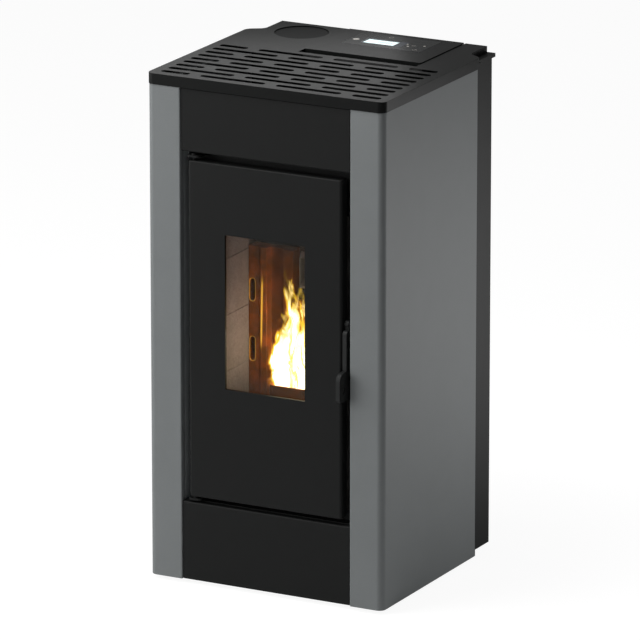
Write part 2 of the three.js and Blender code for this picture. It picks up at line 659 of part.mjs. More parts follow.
function makeRearPanel() {
  const step = SIDE_DEPTH + FIT;
  const wingEnd = CASING_HALF - 1;
  const path = outline([
    corner(wingEnd, step + SHEET), corner(REAR_HALF, step + SHEET), corner(REAR_HALF, COVER_DEPTH, 3),
    corner(-REAR_HALF, COVER_DEPTH, 3), corner(-REAR_HALF, step + SHEET), corner(-wingEnd, step + SHEET),
  ], false);
  const walls = raised(bentSheet(path, SHEET), CASING_LIFT, RIM_BOTTOM + 1);
  const rimHalf = REAR_HALF + REAR_RIM_REACH;
  const shoulderHalf = wingEnd - 2;
  const rim = raised(outline([
    corner(-shoulderHalf, step), corner(shoulderHalf, step), corner(shoulderHalf, NOTCH_END - 4),
    corner(rimHalf, NOTCH_END - 4), corner(rimHalf, COVER_DEPTH + REAR_RIM_REACH, 2),
    corner(-rimHalf, COVER_DEPTH + REAR_RIM_REACH, 2), corner(-rimHalf, NOTCH_END - 4),
    corner(-shoulderHalf, NOTCH_END - 4),
  ]), RIM_BOTTOM, RIM_TOP);
  const ledge = COVER_HALF - NOTCH_WIDTH - 5;
  const rimOpening = block(-ledge, ledge, step - 10, REAR_INNER, RIM_BOTTOM - 1, RIM_TOP + 1);
  const foot = block(-REAR_HALF + 1, REAR_HALF - 1, REAR_INNER - CARRYING_FLANGE, REAR_INNER + 1, CASING_LIFT, CASING_LIFT + SHEET);
  let panel = join(walls, cut(rim, rimOpening), foot);
  panel = cut(
    panel,
    deepRod(FLUE_COVER_X, FLUE_Z, FLUE_RADIUS + FIT, REAR_INNER - 1, COVER_DEPTH + 1, 32),
    deepRod(INTAKE_X, INTAKE_Z, INTAKE_RADIUS + FIT, REAR_INNER - 1, COVER_DEPTH + 1, 24),
    block(INLET_X - 14, INLET_X + 14, REAR_INNER - 1, COVER_DEPTH + 1, INLET_Z - 24, INLET_Z + 24),
    deepRod(THERMOSTAT_X, THERMOSTAT_Z, 6 + FIT, REAR_INNER - 1, COVER_DEPTH + 1),
    ...rearVents(),
  );
  place(casing, 'rear_panel', panel, BLACK_PAINT);
}

// A front panel: a plate with a deep return at the door opening and short ones at its other edges.
function makeFrontPanel(name, z0, z1, doorEdge, farEdge) {
  const half = FLANGE_EDGE - PANEL_SIDE_GAP;
  const deep = PANEL_RECESS + PANEL_RETURN_DEPTH;
  const short = PANEL_RECESS + FRONT_RETURN_DEPTH;
  const upper = doorEdge < farEdge;
  const path = outline([
    corner(upper ? short : deep, z1), corner(PANEL_RECESS, z1, 2),
    corner(PANEL_RECESS, z0, 2), corner(upper ? deep : short, z0),
  ], false);
  const plate = sideways(bentSheet(path, SHEET), -half, half);
  const left = block(-half, -half + SHEET, PANEL_RECESS + 1, short, z0 + 1, z1 - 1);
  const right = block(half - SHEET, half, PANEL_RECESS + 1, short, z0 + 1, z1 - 1);
  place(casing, name, join(plate, left, right), BLACK_PAINT);
}

function makeFrontFrame() {
  const half = FLANGE_EDGE + SHEET;
  const bottom = LOWER_PANEL_TOP + FIT;
  const top = UPPER_PANEL_BOTTOM - FIT;
  const front = FRONT_RETURN_DEPTH + FIT;
  const rear = FRAME_PLATE_FRONT + FRAME_PLATE;
  const tray = block(-half, half, front, rear, bottom, top);
  const hollow = block(-half + SHEET, half - SHEET, front - 1, FRAME_PLATE_FRONT, bottom + SHEET, top - SHEET);
  const opening = block(
    -FIREBOX_HALF - FIT, FIREBOX_HALF + FIT, front, rear + 1,
    FIREBOX_BOTTOM - FIT, FIREBOX_TOP + FIT,
  );
  place(casing, 'front_frame', cut(tray, hollow, opening), BLACK_PAINT);
}

// ---------------------------------------------------------------------------------------------
// Top cover

// The plan of the cover, moved inwards by an inset: wide in front, notched at both rear corners.
function coverPlan(inset) {
  const half = COVER_HALF - inset;
  const narrow = COVER_HALF - NOTCH_WIDTH - inset;
  const rear = COVER_DEPTH - inset;
  const radius = Math.max(CORNER_RADIUS + COVER_OVERHANG - inset, 1);
  const shoulder = NOTCH_START - inset;
  const waist = NOTCH_END - inset;
  const right = [
    corner(half, COVER_FRONT + inset, radius), corner(half, shoulder, NOTCH_RADIUS),
    corner(narrow, waist, NOTCH_RADIUS), corner(narrow, rear, 2),
  ];
  const left = right.map(({ x, y, radius: r }) => corner(-x, y, r)).reverse();
  return outline([...right, ...left]);
}

// The slots of the warm-air grille: rows of three long slots between rows of short-long-long-short.
function grilleSlots() {
  const slots = [];
  const start = -GRILLE_SPAN / 2;
  for (let row = 0; row < GRILLE_ROWS; row += 1) {
    const inner = (GRILLE_SPAN - 2 * GRILLE_SHORT_SLOT - 3 * GRILLE_SLOT_GAP) / 2;
    const even = (GRILLE_SPAN - 2 * GRILLE_SLOT_GAP) / 3;
    const lengths = row % 2 === 0
      ? [GRILLE_SHORT_SLOT, inner, inner, GRILLE_SHORT_SLOT]
      : [even, even, even];
    const y = GRILLE_FIRST_ROW + row * GRILLE_PITCH;
    let x = start;
    lengths.forEach((length) => {
      const plan = rectangle(
        x, x + length, y - GRILLE_SLOT_WIDTH / 2, y + GRILLE_SLOT_WIDTH / 2, GRILLE_SLOT_WIDTH / 2 - 0.05,
      );
      slots.push(raised(plan, COVER_UNDERSIDE - 1, OVERALL_HEIGHT + 1));
      x += length + GRILLE_SLOT_GAP;
    });
  }
  return slots;
}

function makeTopCover() {
  const ledgeTop = OVERALL_HEIGHT - FLUE_COVER_SINK - FLUE_COVER_THICKNESS - FIT;
  const ledgeBottom = ledgeTop - 2;
  const holeRadius = FLUE_COVER_RADIUS + FIT;
  const shell = cut(
    raised(coverPlan(0), SKIRT_BOTTOM, OVERALL_HEIGHT),
    raised(coverPlan(COVER_SKIRT_WALL), SKIRT_BOTTOM - 1, COVER_UNDERSIDE),
    block(-COVER_HALF, COVER_HALF, SIDE_DEPTH - 2, COVER_DEPTH + 1, SKIRT_BOTTOM - 1, RIM_TOP + FIT),
  );
  const collar = uprightRod(FLUE_COVER_X, FLUE_COVER_Y, holeRadius + 3, ledgeBottom, COVER_UNDERSIDE + 1, 32);
  const opening = block(
    LID_LEFT - LID_SIDE_GAP, LID_RIGHT + LID_SIDE_GAP, LID_FRONT - FINGER_GAP, LID_REAR + 1,
    COVER_UNDERSIDE - 2, OVERALL_HEIGHT + 1,
  );
  const hingeSeat = block(
    LID_LEFT - LID_SIDE_GAP, LID_RIGHT + LID_SIDE_GAP, LID_REAR, COVER_DEPTH + 1,
    LID_PIN_Z - LID_KNUCKLE_RADIUS - FIT, OVERALL_HEIGHT + 1,
  );
  let cover = cut(
    join(shell, collar), opening, hingeSeat,
    uprightRod(FLUE_COVER_X, FLUE_COVER_Y, holeRadius, ledgeTop, OVERALL_HEIGHT + 1, 32),
    uprightRod(FLUE_COVER_X, FLUE_COVER_Y, holeRadius - FLUE_LEDGE_WIDTH, ledgeBottom - 1, ledgeTop + 1, 32),
    ...grilleSlots(),
  );
  hingeKnuckleSpans().fixed.forEach(([x0, x1]) => {
    const knuckle = crossRod(LID_PIN_Y, LID_PIN_Z, LID_KNUCKLE_RADIUS, x0, x1, 20);
    const root = block(x0, x1, LID_PIN_Y - 1, COVER_DEPTH, COVER_UNDERSIDE - 4, LID_PIN_Z - 1);
    cover = join(cover, knuckle, root);
    cover = cut(cover, crossRod(LID_PIN_Y, LID_PIN_Z, LID_PIN_RADIUS + FIT, x0 - 1, x1 + 1, 16));
  });
  place(casing, 'top_cover', cover, COVER_PAINT);
}

function makeFlueCover() {
  const top = OVERALL_HEIGHT - FLUE_COVER_SINK;
  const disc = uprightRod(FLUE_COVER_X, FLUE_COVER_Y, FLUE_COVER_RADIUS, top - FLUE_COVER_THICKNESS, top, 32);
  const lipRadius = FLUE_COVER_RADIUS - FLUE_LEDGE_WIDTH - 2 * FIT;
  const lip = cut(
    uprightRod(FLUE_COVER_X, FLUE_COVER_Y, lipRadius, top - 9, top - 1, 32),
    uprightRod(FLUE_COVER_X, FLUE_COVER_Y, lipRadius - SHEET, top - 10, top - FLUE_COVER_THICKNESS, 32),
  );
  place(casing, 'flue_cover_disc', join(disc, lip), COVER_PAINT);
}

// ---------------------------------------------------------------------------------------------
// Hopper lid with the control panel

// Along the hinge: fixed knuckles at both ends, one long lid knuckle between them.
function hingeKnuckleSpans() {
  const left = LID_LEFT + 2;
  const right = LID_RIGHT - 2;
  return {
    fixed: [[left, left + LID_KNUCKLE_LENGTH], [right - LID_KNUCKLE_LENGTH, right]],
    lid: [left + LID_KNUCKLE_LENGTH + FIT, right - LID_KNUCKLE_LENGTH - FIT],
  };
}

function makeHopperLid() {
  const [from, to] = hingeKnuckleSpans().lid;
  const plan = rectangle(LID_LEFT, LID_RIGHT, LID_FRONT, LID_REAR, 3);
  const skirtBottom = LID_UNDERSIDE - LID_SKIRT_DEPTH + LID_PLATE;
  const shell = cut(
    raised(plan, skirtBottom, LID_TOP),
    block(LID_LEFT + SHEET, LID_RIGHT - SHEET, LID_FRONT + SHEET, LID_REAR + 1, skirtBottom - 1, LID_UNDERSIDE),
  );
  const knuckle = crossRod(LID_PIN_Y, LID_PIN_Z, LID_KNUCKLE_RADIUS, from, to, 20);
  const leaf = block(from, to, LID_REAR - 1, LID_PIN_Y, LID_TOP - LID_PLATE, LID_TOP - 0.2);
  const pinHole = crossRod(LID_PIN_Y, LID_PIN_Z, LID_PIN_RADIUS + FIT, from - 1, to + 1, 16);
  const pocket = raised(
    rectangle(FASCIA_LEFT - FIT, FASCIA_RIGHT + FIT, FASCIA_FRONT - FIT, FASCIA_REAR + FIT, FASCIA_CORNER),
    LID_TOP - FASCIA_THICKNESS, LID_TOP + 1,
  );
  const window = block(LCD_LEFT - 4, LCD_RIGHT + 4, LCD_FRONT - 4, LCD_REAR + 4, LID_UNDERSIDE - 1, LID_TOP);
  place(hopperLid, 'hopper_lid', cut(join(shell, leaf, knuckle), pinHole, pocket, window), COVER_PAINT);
}

function makeLidPin() {
  const { fixed } = hingeKnuckleSpans();
  const pin = crossRod(LID_PIN_Y, LID_PIN_Z, LID_PIN_RADIUS, fixed[0][0], fixed[1][1], 16);
  place(hopperLid, 'lid_hinge_pin', pin, BRIGHT_STEEL);
}

function makeControlPanel() {
  const seat = LID_TOP - FASCIA_THICKNESS + FIT;
  const top = LID_TOP + 0.2;
  const plan = rectangle(FASCIA_LEFT, FASCIA_RIGHT, FASCIA_FRONT, FASCIA_REAR, FASCIA_CORNER);
  const window = block(LCD_LEFT - FIT, LCD_RIGHT + FIT, LCD_FRONT - FIT, LCD_REAR + FIT, seat - 1, top + 1);
  place(hopperLid, 'control_fascia', cut(raised(plan, seat, top), window), DARK_PLASTIC);
  const lcdTop = top - 0.2;
  const boardTop = LID_UNDERSIDE - FIT - BOARD_DEPTH;
  const glass = block(LCD_LEFT, LCD_RIGHT, LCD_FRONT, LCD_REAR, boardTop + FIT, lcdTop);
  const lip = block(LCD_LEFT - 3, LCD_RIGHT + 3, LCD_FRONT - 3, LCD_REAR + 3, LID_UNDERSIDE, seat - FIT);
  place(hopperLid, 'display_lcd', join(glass, lip), LCD_GLASS);
}

function makeDisplayHousing() {
  const x0 = FASCIA_LEFT + DISPLAY_BOX_INSET;
  const x1 = FASCIA_RIGHT - DISPLAY_BOX_INSET;
  const y0 = FASCIA_FRONT + DISPLAY_BOX_INSET;
  const y1 = FASCIA_REAR - DISPLAY_BOX_INSET;
  const top = LID_UNDERSIDE - FIT;
  const wall = 2;
  const tray = cut(
    raised(rectangle(x0, x1, y0, y1, 5), top - DISPLAY_BOX_DEPTH, top),
    block(x0 + wall, x1 - wall, y0 + wall, y1 - wall, top - DISPLAY_BOX_DEPTH + wall, top + 1),
  );
  const boardTop = top - BOARD_DEPTH;
  const board = cut(
    block(x0 + 1, x1 - 1, y0 + 1, y1 - 1, boardTop - BOARD_THICKNESS, boardTop),
    block(x0 + 20, x0 + 30, y0 + 8, y0 + 16, boardTop - BOARD_THICKNESS - 1, boardTop + 1),
  );
  place(hopperLid, 'display_housing', join(tray, board), DARK_PLASTIC);
}

// ---------------------------------------------------------------------------------------------
// Hopper and pellet feed

// The room inside or outside the hopper walls, from the flange down to the neck.
function hopperRoom(inset, top, bottom) {
  const mouth = {
    x0: LID_LEFT + inset, x1: LID_RIGHT - HOPPER_INSET - inset,
    y0: LID_FRONT + HOPPER_INSET + inset, y1: LID_REAR - HOPPER_INSET - inset,
  };
  const neck = {
    x0: -HOPPER_NECK_HALF_WIDTH + inset, x1: HOPPER_NECK_HALF_WIDTH - inset,
    y0: HOPPER_NECK_FRONT + inset, y1: HOPPER_NECK_REAR - inset,
  };
  return join(
    block(mouth.x0, mouth.x1, mouth.y0, mouth.y1, HOPPER_BEND_Z, top),
    tapered({ ...neck, z: HOPPER_NECK_TOP }, { ...mouth, z: HOPPER_BEND_Z }),
    block(neck.x0, neck.x1, neck.y0, neck.y1, bottom, HOPPER_NECK_TOP),
  );
}

function makeHopper() {
  const flangeTop = HOPPER_FLANGE_Z + HOPPER_WALL;
  const flange = block(
    LID_LEFT - HOPPER_FLANGE, LID_RIGHT + HOPPER_FLANGE, LID_FRONT - HOPPER_FLANGE, REAR_INNER - FIT,
    HOPPER_FLANGE_Z, flangeTop,
  );
  const shell = join(hopperRoom(0, flangeTop, HOPPER_NECK_BOTTOM), flange);
  place(pelletFeed, 'hopper', cut(shell, hopperRoom(HOPPER_WALL, flangeTop + 1, HOPPER_NECK_BOTTOM - 1)), ZINC_SHEET);
}

function makeHopperGasket() {
  const z0 = HOPPER_FLANGE_Z + HOPPER_WALL + FIT;
  const z1 = z0 + HOPPER_GASKET_HEIGHT;
  const outer = raised(rectangle(LID_LEFT - 4, LID_RIGHT + 4, LID_FRONT - 4, LID_REAR, 5), z0, z1);
  const inner = raised(rectangle(LID_LEFT + 4, LID_RIGHT - 6, LID_FRONT + 8, LID_REAR - 6, 3), z0 - 1, z1 + 1);
  place(pelletFeed, 'hopper_gasket', cut(outer, inner), SEAL_RUBBER);
}

function makeHopperGrille() {
  const x0 = LID_LEFT + HOPPER_WALL + FIT;
  const x1 = LID_RIGHT - HOPPER_INSET - HOPPER_WALL - FIT;
  const y0 = LID_FRONT + HOPPER_INSET + HOPPER_WALL + FIT;
  const y1 = LID_REAR - HOPPER_INSET - HOPPER_WALL - FIT;
  const edge = 5;
  const middle = (y0 + y1) / 2;
  const pitch = (x1 - x0 - 2 * edge + GRID_BAR) / GRID_COLUMNS;
  const holes = [];
  for (let i = 0; i < GRID_COLUMNS; i += 1) {
    const left = x0 + edge + i * pitch;
    const right = left + pitch - GRID_BAR;
    holes.push(block(left, right, y0 + edge, middle - GRID_BAR / 2, GRID_Z - 1, GRID_Z + GRID_BAR + 1));
    holes.push(block(left, right, middle + GRID_BAR / 2, y1 - edge, GRID_Z - 1, GRID_Z + GRID_BAR + 1));
  }
  place(pelletFeed, 'hopper_grille', cut(block(x0, x1, y0, y1, GRID_Z, GRID_Z + GRID_BAR), ...holes), BRIGHT_STEEL);
}

// Moves a shape drawn along +Z onto the auger's axis, with z = 0 at its low end.
function onAugerAxis(geometry) {
  return geometry.rotateX(AUGER_TILT).translate(0, AUGER_LOW_Y, AUGER_LOW_Z);
}

function augerRod(radius, from, to, sides = 28) {
  return onAugerAxis(uprightRod(0, 0, radius, from, to, sides));
}

const AUGER_CAP = 4;

function makeAugerTube() {
  const inner = AUGER_TUBE_RADIUS - AUGER_TUBE_WALL;
  const neckTop = HOPPER_NECK_BOTTOM - FIT;
  const half = HOPPER_NECK_HALF_WIDTH - 3;
  const front = HOPPER_NECK_FRONT + 3;
  const rear = HOPPER_NECK_REAR - 3;
  const wall = AUGER_TUBE_WALL;
  const outside = join(
    augerRod(AUGER_TUBE_RADIUS, -AUGER_CAP, AUGER_RUN),
    block(-half, half, front, rear, AUGER_LOW_Z + 16, neckTop),
    block(-half - 5, half + 5, front - 5, rear + 5, neckTop - wall, neckTop),
  );
  const tube = cut(
    outside,
    augerRod(inner, 0, AUGER_RUN + 1),
    block(-half + wall, half - wall, front + wall, rear - wall, AUGER_LOW_Z + 24, neckTop + 1),
    augerRod(AUGER_SHAFT_RADIUS + FIT, -AUGER_CAP - 1, 1),
  );
  place(pelletFeed, 'auger_tube', tube, ZINC_SHEET);
}

// The screw flight: a flat strip wound round the shaft, one closed helicoid.
function screwFlight(from, to) {
  const stepsPerTurn = 12;
  const turns = (to - from) / AUGER_PITCH;
  const steps = Math.round(turns * stepsPerTurn);
  const root = AUGER_SHAFT_RADIUS - 1;
  const half = AUGER_FLIGHT_THICKNESS / 2;
  const positions = [];
  const faces = [];
  for (let i = 0; i <= steps; i += 1) {
    const angle = (2 * Math.PI * i) / stepsPerTurn;
    const z = from + ((to - from) * i) / steps;
    const ring = [[root, -half], [AUGER_FLIGHT_RADIUS, -half], [AUGER_FLIGHT_RADIUS, half], [root, half]];
    ring.forEach(([r, dz]) => positions.push(r * Math.cos(angle), r * Math.sin(angle), z + dz));
  }
  for (let i = 0; i < steps; i += 1) {
    for (let k = 0; k < 4; k += 1) {
      const a = i * 4 + k;
      const b = i * 4 + ((k + 1) % 4);
      faces.push(a, b + 4, b, a, a + 4, b + 4);
    }
  }
  const end = steps * 4;
  faces.push(0, 1, 2, 0, 2, 3, end, end + 2, end + 1, end, end + 3, end + 2);
  const geometry = new THREE.BufferGeometry();
  geometry.setAttribute('position', new THREE.Float32BufferAttribute(positions, 3));
  geometry.setIndex(faces);
  return geometry;
}

function makeAugerScrew() {
  const shaft = uprightRod(0, 0, AUGER_SHAFT_RADIUS, -AUGER_CAP - 10, AUGER_RUN - 2, 12);
  const flight = screwFlight(6, AUGER_RUN - 6);
  place(pelletFeed, 'auger_screw', onAugerAxis(join(shaft, flight)), BRIGHT_STEEL);
}

function makeAugerMotor() {
  const half = AUGER_MOTOR_WIDTH / 2;
  const top = -AUGER_CAP - FIT;
  const gearboxDepth = 26;
  const gearbox = raised(rectangle(-half, half, -half, half, 6), top - gearboxDepth, top);
  const can = uprightRod(0, 0, half - 4, top - AUGER_MOTOR_LENGTH, top - gearboxDepth + 1, 28);
  const socket = uprightRod(0, 0, AUGER_SHAFT_RADIUS + FIT, top - 12, top + 1, 20);
  place(pelletFeed, 'auger_motor', onAugerAxis(cut(join(gearbox, can), socket)), MOTOR_STEEL);
}

// A point on the auger, given along its axis and out towards its rear upper side, as (y, z).
function augerPoint(along, out) {
  const s = Math.sin(AUGER_TILT);
  const c = Math.cos(AUGER_TILT);
  return corner(AUGER_LOW_Y - along * s + out * c, AUGER_LOW_Z + along * c + out * s);
}

const CHUTE_HALF = 34;
const CHUTE_WALL = 2;
const CHUTE_ENTRY = 10;
const CHUTE_DROP = 92;
const CHUTE_MOUTH_HEIGHT = 57;
const CHUTE_SHOULDER_REACH = 37;
const CHUTE_SHOULDER_RISE = 36;
const CHUTE_END = FIREBOX_REAR - CHUTE_ENTRY;
const CHUTE_LIP_Z = AUGER_HIGH_Z - CHUTE_DROP;
const CHUTE_CROWN_Z = CHUTE_LIP_Z + CHUTE_MOUTH_HEIGHT;
const CHUTE_SHOULDER_Y = AUGER_HIGH_Y - CHUTE_SHOULDER_REACH;
const CHUTE_SHOULDER_Z = AUGER_HIGH_Z + CHUTE_SHOULDER_RISE;
const CHUTE_REACH = 56;

function chuteOutline(inset) {
  const reach = AUGER_TUBE_RADIUS + 4 - inset;
  const seat = AUGER_RUN - 16 + inset;
  return outline([
    augerPoint(seat, -reach), augerPoint(seat, reach), augerPoint(seat + CHUTE_REACH - 2 * inset, reach),
    corner(CHUTE_SHOULDER_Y + inset, CHUTE_SHOULDER_Z - inset * 1.4), corner(CHUTE_END - inset * 2, CHUTE_CROWN_Z - inset * 3),
    corner(CHUTE_END - inset * 2, CHUTE_LIP_Z - inset * 0.4 + inset),
  ]);
}

function makePelletChute() {
  const shell = sideways(chuteOutline(0), -CHUTE_HALF, CHUTE_HALF);
  const room = sideways(chuteOutline(CHUTE_WALL), -CHUTE_HALF + CHUTE_WALL, CHUTE_HALF - CHUTE_WALL);
  const collar = augerRod(AUGER_TUBE_RADIUS + FIT, AUGER_RUN - 30, AUGER_RUN + 1);
  place(pelletFeed, 'pellet_chute', cut(shell, room, collar), ZINC_SHEET);
}

// ---------------------------------------------------------------------------------------------
// Firebox

function makeFireboxBody() {
  const legHeight = FIREBOX_BOTTOM - BASE_TOP - FIT;
  const legFront = 70;
  const shell = join(
    block(-FIREBOX_HALF, FIREBOX_HALF, FIREBOX_FACE, FIREBOX_REAR, FIREBOX_BOTTOM, FIREBOX_TOP),
    block(
      -FIREBOX_HALF - FIREBOX_LIP, FIREBOX_HALF + FIREBOX_LIP, FIREBOX_FACE, FIREBOX_FACE + FIREBOX_WALL,
      FIREBOX_BOTTOM - FIREBOX_LIP, FIREBOX_TOP + FIREBOX_LIP,
    ),
    block(-FIREBOX_HALF, -FIREBOX_INNER, legFront, FIREBOX_REAR, FIREBOX_BOTTOM - legHeight, FIREBOX_BOTTOM + 1),
    block(FIREBOX_INNER, FIREBOX_HALF, legFront, FIREBOX_REAR, FIREBOX_BOTTOM - legHeight, FIREBOX_BOTTOM + 1),
  );
  const body = cut(
    shell,
    block(
      -FIREBOX_INNER, FIREBOX_INNER, FIREBOX_FACE + FIREBOX_WALL, FIREBOX_INNER_REAR,
      FIREBOX_BOTTOM + FIREBOX_WALL, FIREBOX_TOP - FIREBOX_WALL,
    ),
    block(-MOUTH_WIDTH / 2, MOUTH_WIDTH / 2, FIREBOX_FACE - 1, FIREBOX_FRONT + 1, MOUTH_BOTTOM, MOUTH_TOP),
    sideways(chuteOutline(-FIT), -CHUTE_HALF - FIT, CHUTE_HALF + FIT),
    block(-FIREBOX_INNER, DUCT_RIGHT - 4, FIREBOX_INNER_REAR - 1, FIREBOX_REAR + 1, DUCT_TOP - 60, DUCT_TOP - 5),
    deepRod(INTAKE_X, INTAKE_Z, INTAKE_RADIUS - PIPE_WALL, FIREBOX_INNER_REAR - 1, FIREBOX_REAR + 1, 24),
    deepRod(IGNITER_X, IGNITER_Z, IGNITER_RADIUS + FIT, FIREBOX_INNER_REAR - 1, FIREBOX_REAR + 1),
  );
  place(firebox, 'firebox_body', body, HOT_STEEL);
}

// The plan of the cast back liner: flat sides, a raised rib, a sunk channel and a flat middle.
function backLinerFace() {
  const y = CHAMBER_REAR;
  const edge = CHAMBER_HALF_WIDTH;
  const half = [
    [edge - 71, y], [edge - 69, y + 9], [edge - 42, y + 9], [edge - 40, y - 5], [edge - 27, y - 5],
    [edge - 24, y], [edge - FIT, y],
  ];
  const right = half.map(([x, depth]) => new THREE.Vector2(x, depth));
  const left = right.map((point) => new THREE.Vector2(-point.x, point.y)).reverse();
  return [...left, ...right];
}

function makeBackLiner() {
  const face = backLinerFace();
  const back = FIREBOX_INNER_REAR - FIT;
  const half = CHAMBER_HALF_WIDTH - FIT;
  const plan = [...face, new THREE.Vector2(half, back), new THREE.Vector2(-half, back)];
  const slotHalf = 5.5;
  const slotX = CHAMBER_HALF_WIDTH - 8;
  const slots = [-slotX, slotX].flatMap((x) => LINER_SLOTS.map(([low, high]) => (
    backwards(
      rectangle(x - slotHalf, x + slotHalf, LINER_BOTTOM + low, LINER_BOTTOM + high, slotHalf - 0.1),
      CHAMBER_REAR - 8, back + 1,
    )
  )));
  const liner = cut(
    raised(plan, LINER_BOTTOM + FIT, BACK_LINER_TOP),
    block(-CHUTE_HALF - 2, CHUTE_HALF + 2, CHAMBER_REAR - 10, back + 1, CHUTE_LIP_Z - 14, BACK_LINER_TOP + 1),
    ...slots,
  );
  place(firebox, 'back_liner', liner, CAST_IRON);
}

function makeSideLiner(name, side) {
  const x0 = side > 0 ? CHAMBER_HALF_WIDTH : -FIREBOX_INNER + FIT;
  const x1 = side > 0 ? FIREBOX_INNER - FIT : -CHAMBER_HALF_WIDTH;
  const face = side * CHAMBER_HALF_WIDTH;
  const joints = LINER_JOINTS.map((z) => block(
    face - LINER_JOINT_DEPTH, face + LINER_JOINT_DEPTH, SIDE_LINER_FRONT - 1, FIREBOX_INNER_REAR,
    LINER_BOTTOM + z - LINER_JOINT_WIDTH / 2, LINER_BOTTOM + z + LINER_JOINT_WIDTH / 2,
  ));
  const board = block(x0, x1, SIDE_LINER_FRONT, FIREBOX_INNER_REAR - FIT, FIREBOX_BOTTOM + FIREBOX_WALL + FIT, SIDE_LINER_TOP);
  place(firebox, name, cut(board, ...joints), FIRE_BOARD);
}

function makeBaffle() {
  const half = CHAMBER_HALF_WIDTH - FIT;
  const rear = FIREBOX_INNER_REAR - FIT;
  const section = outline([
    corner(BAFFLE_FRONT, BAFFLE_FRONT_Z), corner(rear, BAFFLE_REAR_Z),
    corner(rear, BAFFLE_REAR_Z + BAFFLE_THICKNESS), corner(BAFFLE_FRONT, BAFFLE_FRONT_Z + BAFFLE_THICKNESS),
  ]);
  place(firebox, 'baffle_plate', sideways(section, -half, half), FIRE_BOARD);
}

function makeHeatExchanger() {
  const z0 = FIREBOX_TOP + FIT;
  const z1 = z0 + EXCHANGER_HEIGHT;
  const half = FIREBOX_HALF - 12;
  const front = 46;
  const rear = FIREBOX_REAR - 10;
  const plate = 2.5;
  const parts = [block(-half, half, front, rear, z0, z0 + plate)];
  for (let i = 0; i < EXCHANGER_FINS; i += 1) {
    const x = -half + 6 + ((2 * half - 12) * i) / (EXCHANGER_FINS - 1);
    parts.push(block(x - plate / 2, x + plate / 2, front + 6, rear - 6, z0 + 1, z1));
  }
  place(firebox, 'heat_exchanger', join(...parts), HOT_STEEL);
}

function makeBurnPot() {
  const seat = HOLDER_TOP + FIT;
  const body = raised(rectangle(-POT_HALF_WIDTH, POT_HALF_WIDTH, POT_FRONT, POT_REAR, POT_CORNER), POT_BOTTOM, POT_TOP);
  const rim = raised(rectangle(
    -POT_HALF_WIDTH - POT_RIM_REACH, POT_HALF_WIDTH + POT_RIM_REACH,
    POT_FRONT - POT_RIM_REACH, POT_REAR + POT_RIM_REACH, POT_CORNER + POT_RIM_REACH,
  ), seat, seat + POT_RIM_HEIGHT);
  const room = raised(rectangle(
    -POT_HALF_WIDTH + POT_WALL, POT_HALF_WIDTH - POT_WALL, POT_FRONT + POT_WALL, POT_REAR - POT_WALL, POT_CORNER - POT_WALL,
  ), POT_BOTTOM + POT_WALL, POT_TOP + 1);
  const holes = [];
  for (let column = -2; column <= 2; column += 1) {
    for (let row = 0; row < 3; row += 1) {
      const y = POT_FRONT + 22 + row * 16;
      holes.push(uprightRod(column * 13, y, 3, POT_BOTTOM - 1, POT_BOTTOM + POT_WALL + 1, 6));
    }
  }
  const igniterHole = deepRod(IGNITER_X, IGNITER_Z, 4, POT_REAR - POT_WALL - 1, POT_REAR + 1, 12);
  place(firebox, 'burn_pot', cut(join(body, rim), room, igniterHole, ...holes), CAST_IRON);
}

function makePotHolder() {
  const rear = FIREBOX_INNER_REAR - FIT;
  const shell = cut(
    block(-HOLDER_HALF_WIDTH, HOLDER_HALF_WIDTH, HOLDER_FRONT, rear, HOLDER_BOTTOM, HOLDER_TOP),
    block(
      -HOLDER_HALF_WIDTH + HOLDER_WALL, HOLDER_HALF_WIDTH - HOLDER_WALL, HOLDER_FRONT + HOLDER_WALL,
      rear - HOLDER_WALL, HOLDER_BOTTOM + HOLDER_WALL, HOLDER_TOP - HOLDER_WALL,
    ),
    raised(rectangle(
      -POT_HALF_WIDTH - 1, POT_HALF_WIDTH + 1, POT_FRONT - 1, POT_REAR + 1, POT_CORNER,
    ), HOLDER_TOP - 10, HOLDER_TOP + 1),
    deepRod(INTAKE_X, INTAKE_Z, INTAKE_RADIUS - PIPE_WALL, rear - HOLDER_WALL - 1, rear + 1, 24),
    deepRod(IGNITER_X, IGNITER_Z, IGNITER_RADIUS + FIT, rear - HOLDER_WALL - 1, rear + 1),
  );
  place(firebox, 'burn_pot_holder', shell, HOT_STEEL);
}

function makeIgniter() {
  const tip = POT_REAR + 4;
  const rod = deepRod(IGNITER_X, IGNITER_Z, IGNITER_RADIUS, tip, REAR_OF_FIREBOX + 34, 18);
  const flange = deepRod(IGNITER_X, IGNITER_Z, IGNITER_RADIUS + 4, REAR_OF_FIREBOX, REAR_OF_FIREBOX + 4, 6);
  place(firebox, 'igniter', join(rod, flange), BRIGHT_STEEL);
}

function makeAshPan() {
  const z0 = FIREBOX_BOTTOM + FIREBOX_WALL + FIT;
  const z1 = z0 + PAN_HEIGHT;
  const pan = cut(
    block(-PAN_HALF_WIDTH, PAN_HALF_WIDTH, PAN_FRONT, PAN_REAR, z0, z1),
    block(
      -PAN_HALF_WIDTH + PAN_WALL, PAN_HALF_WIDTH - PAN_WALL, PAN_FRONT + PAN_WALL, PAN_REAR - PAN_WALL,
      z0 + PAN_WALL, z1 + 1,
    ),
  );
  const gripHeight = z0 + PAN_HEIGHT * 0.65;
  const grip = sideways(bentSheet(outline([
    corner(PAN_FRONT + 1, gripHeight), corner(PAN_FRONT - 9, gripHeight, 3), corner(PAN_FRONT - 9, gripHeight - 12),
  ], false), 2), -36, 28);
  place(firebox, 'ash_pan', join(pan, grip), ZINC_SHEET);
}

// ---------------------------------------------------------------------------------------------
// Smoke path and combustion air

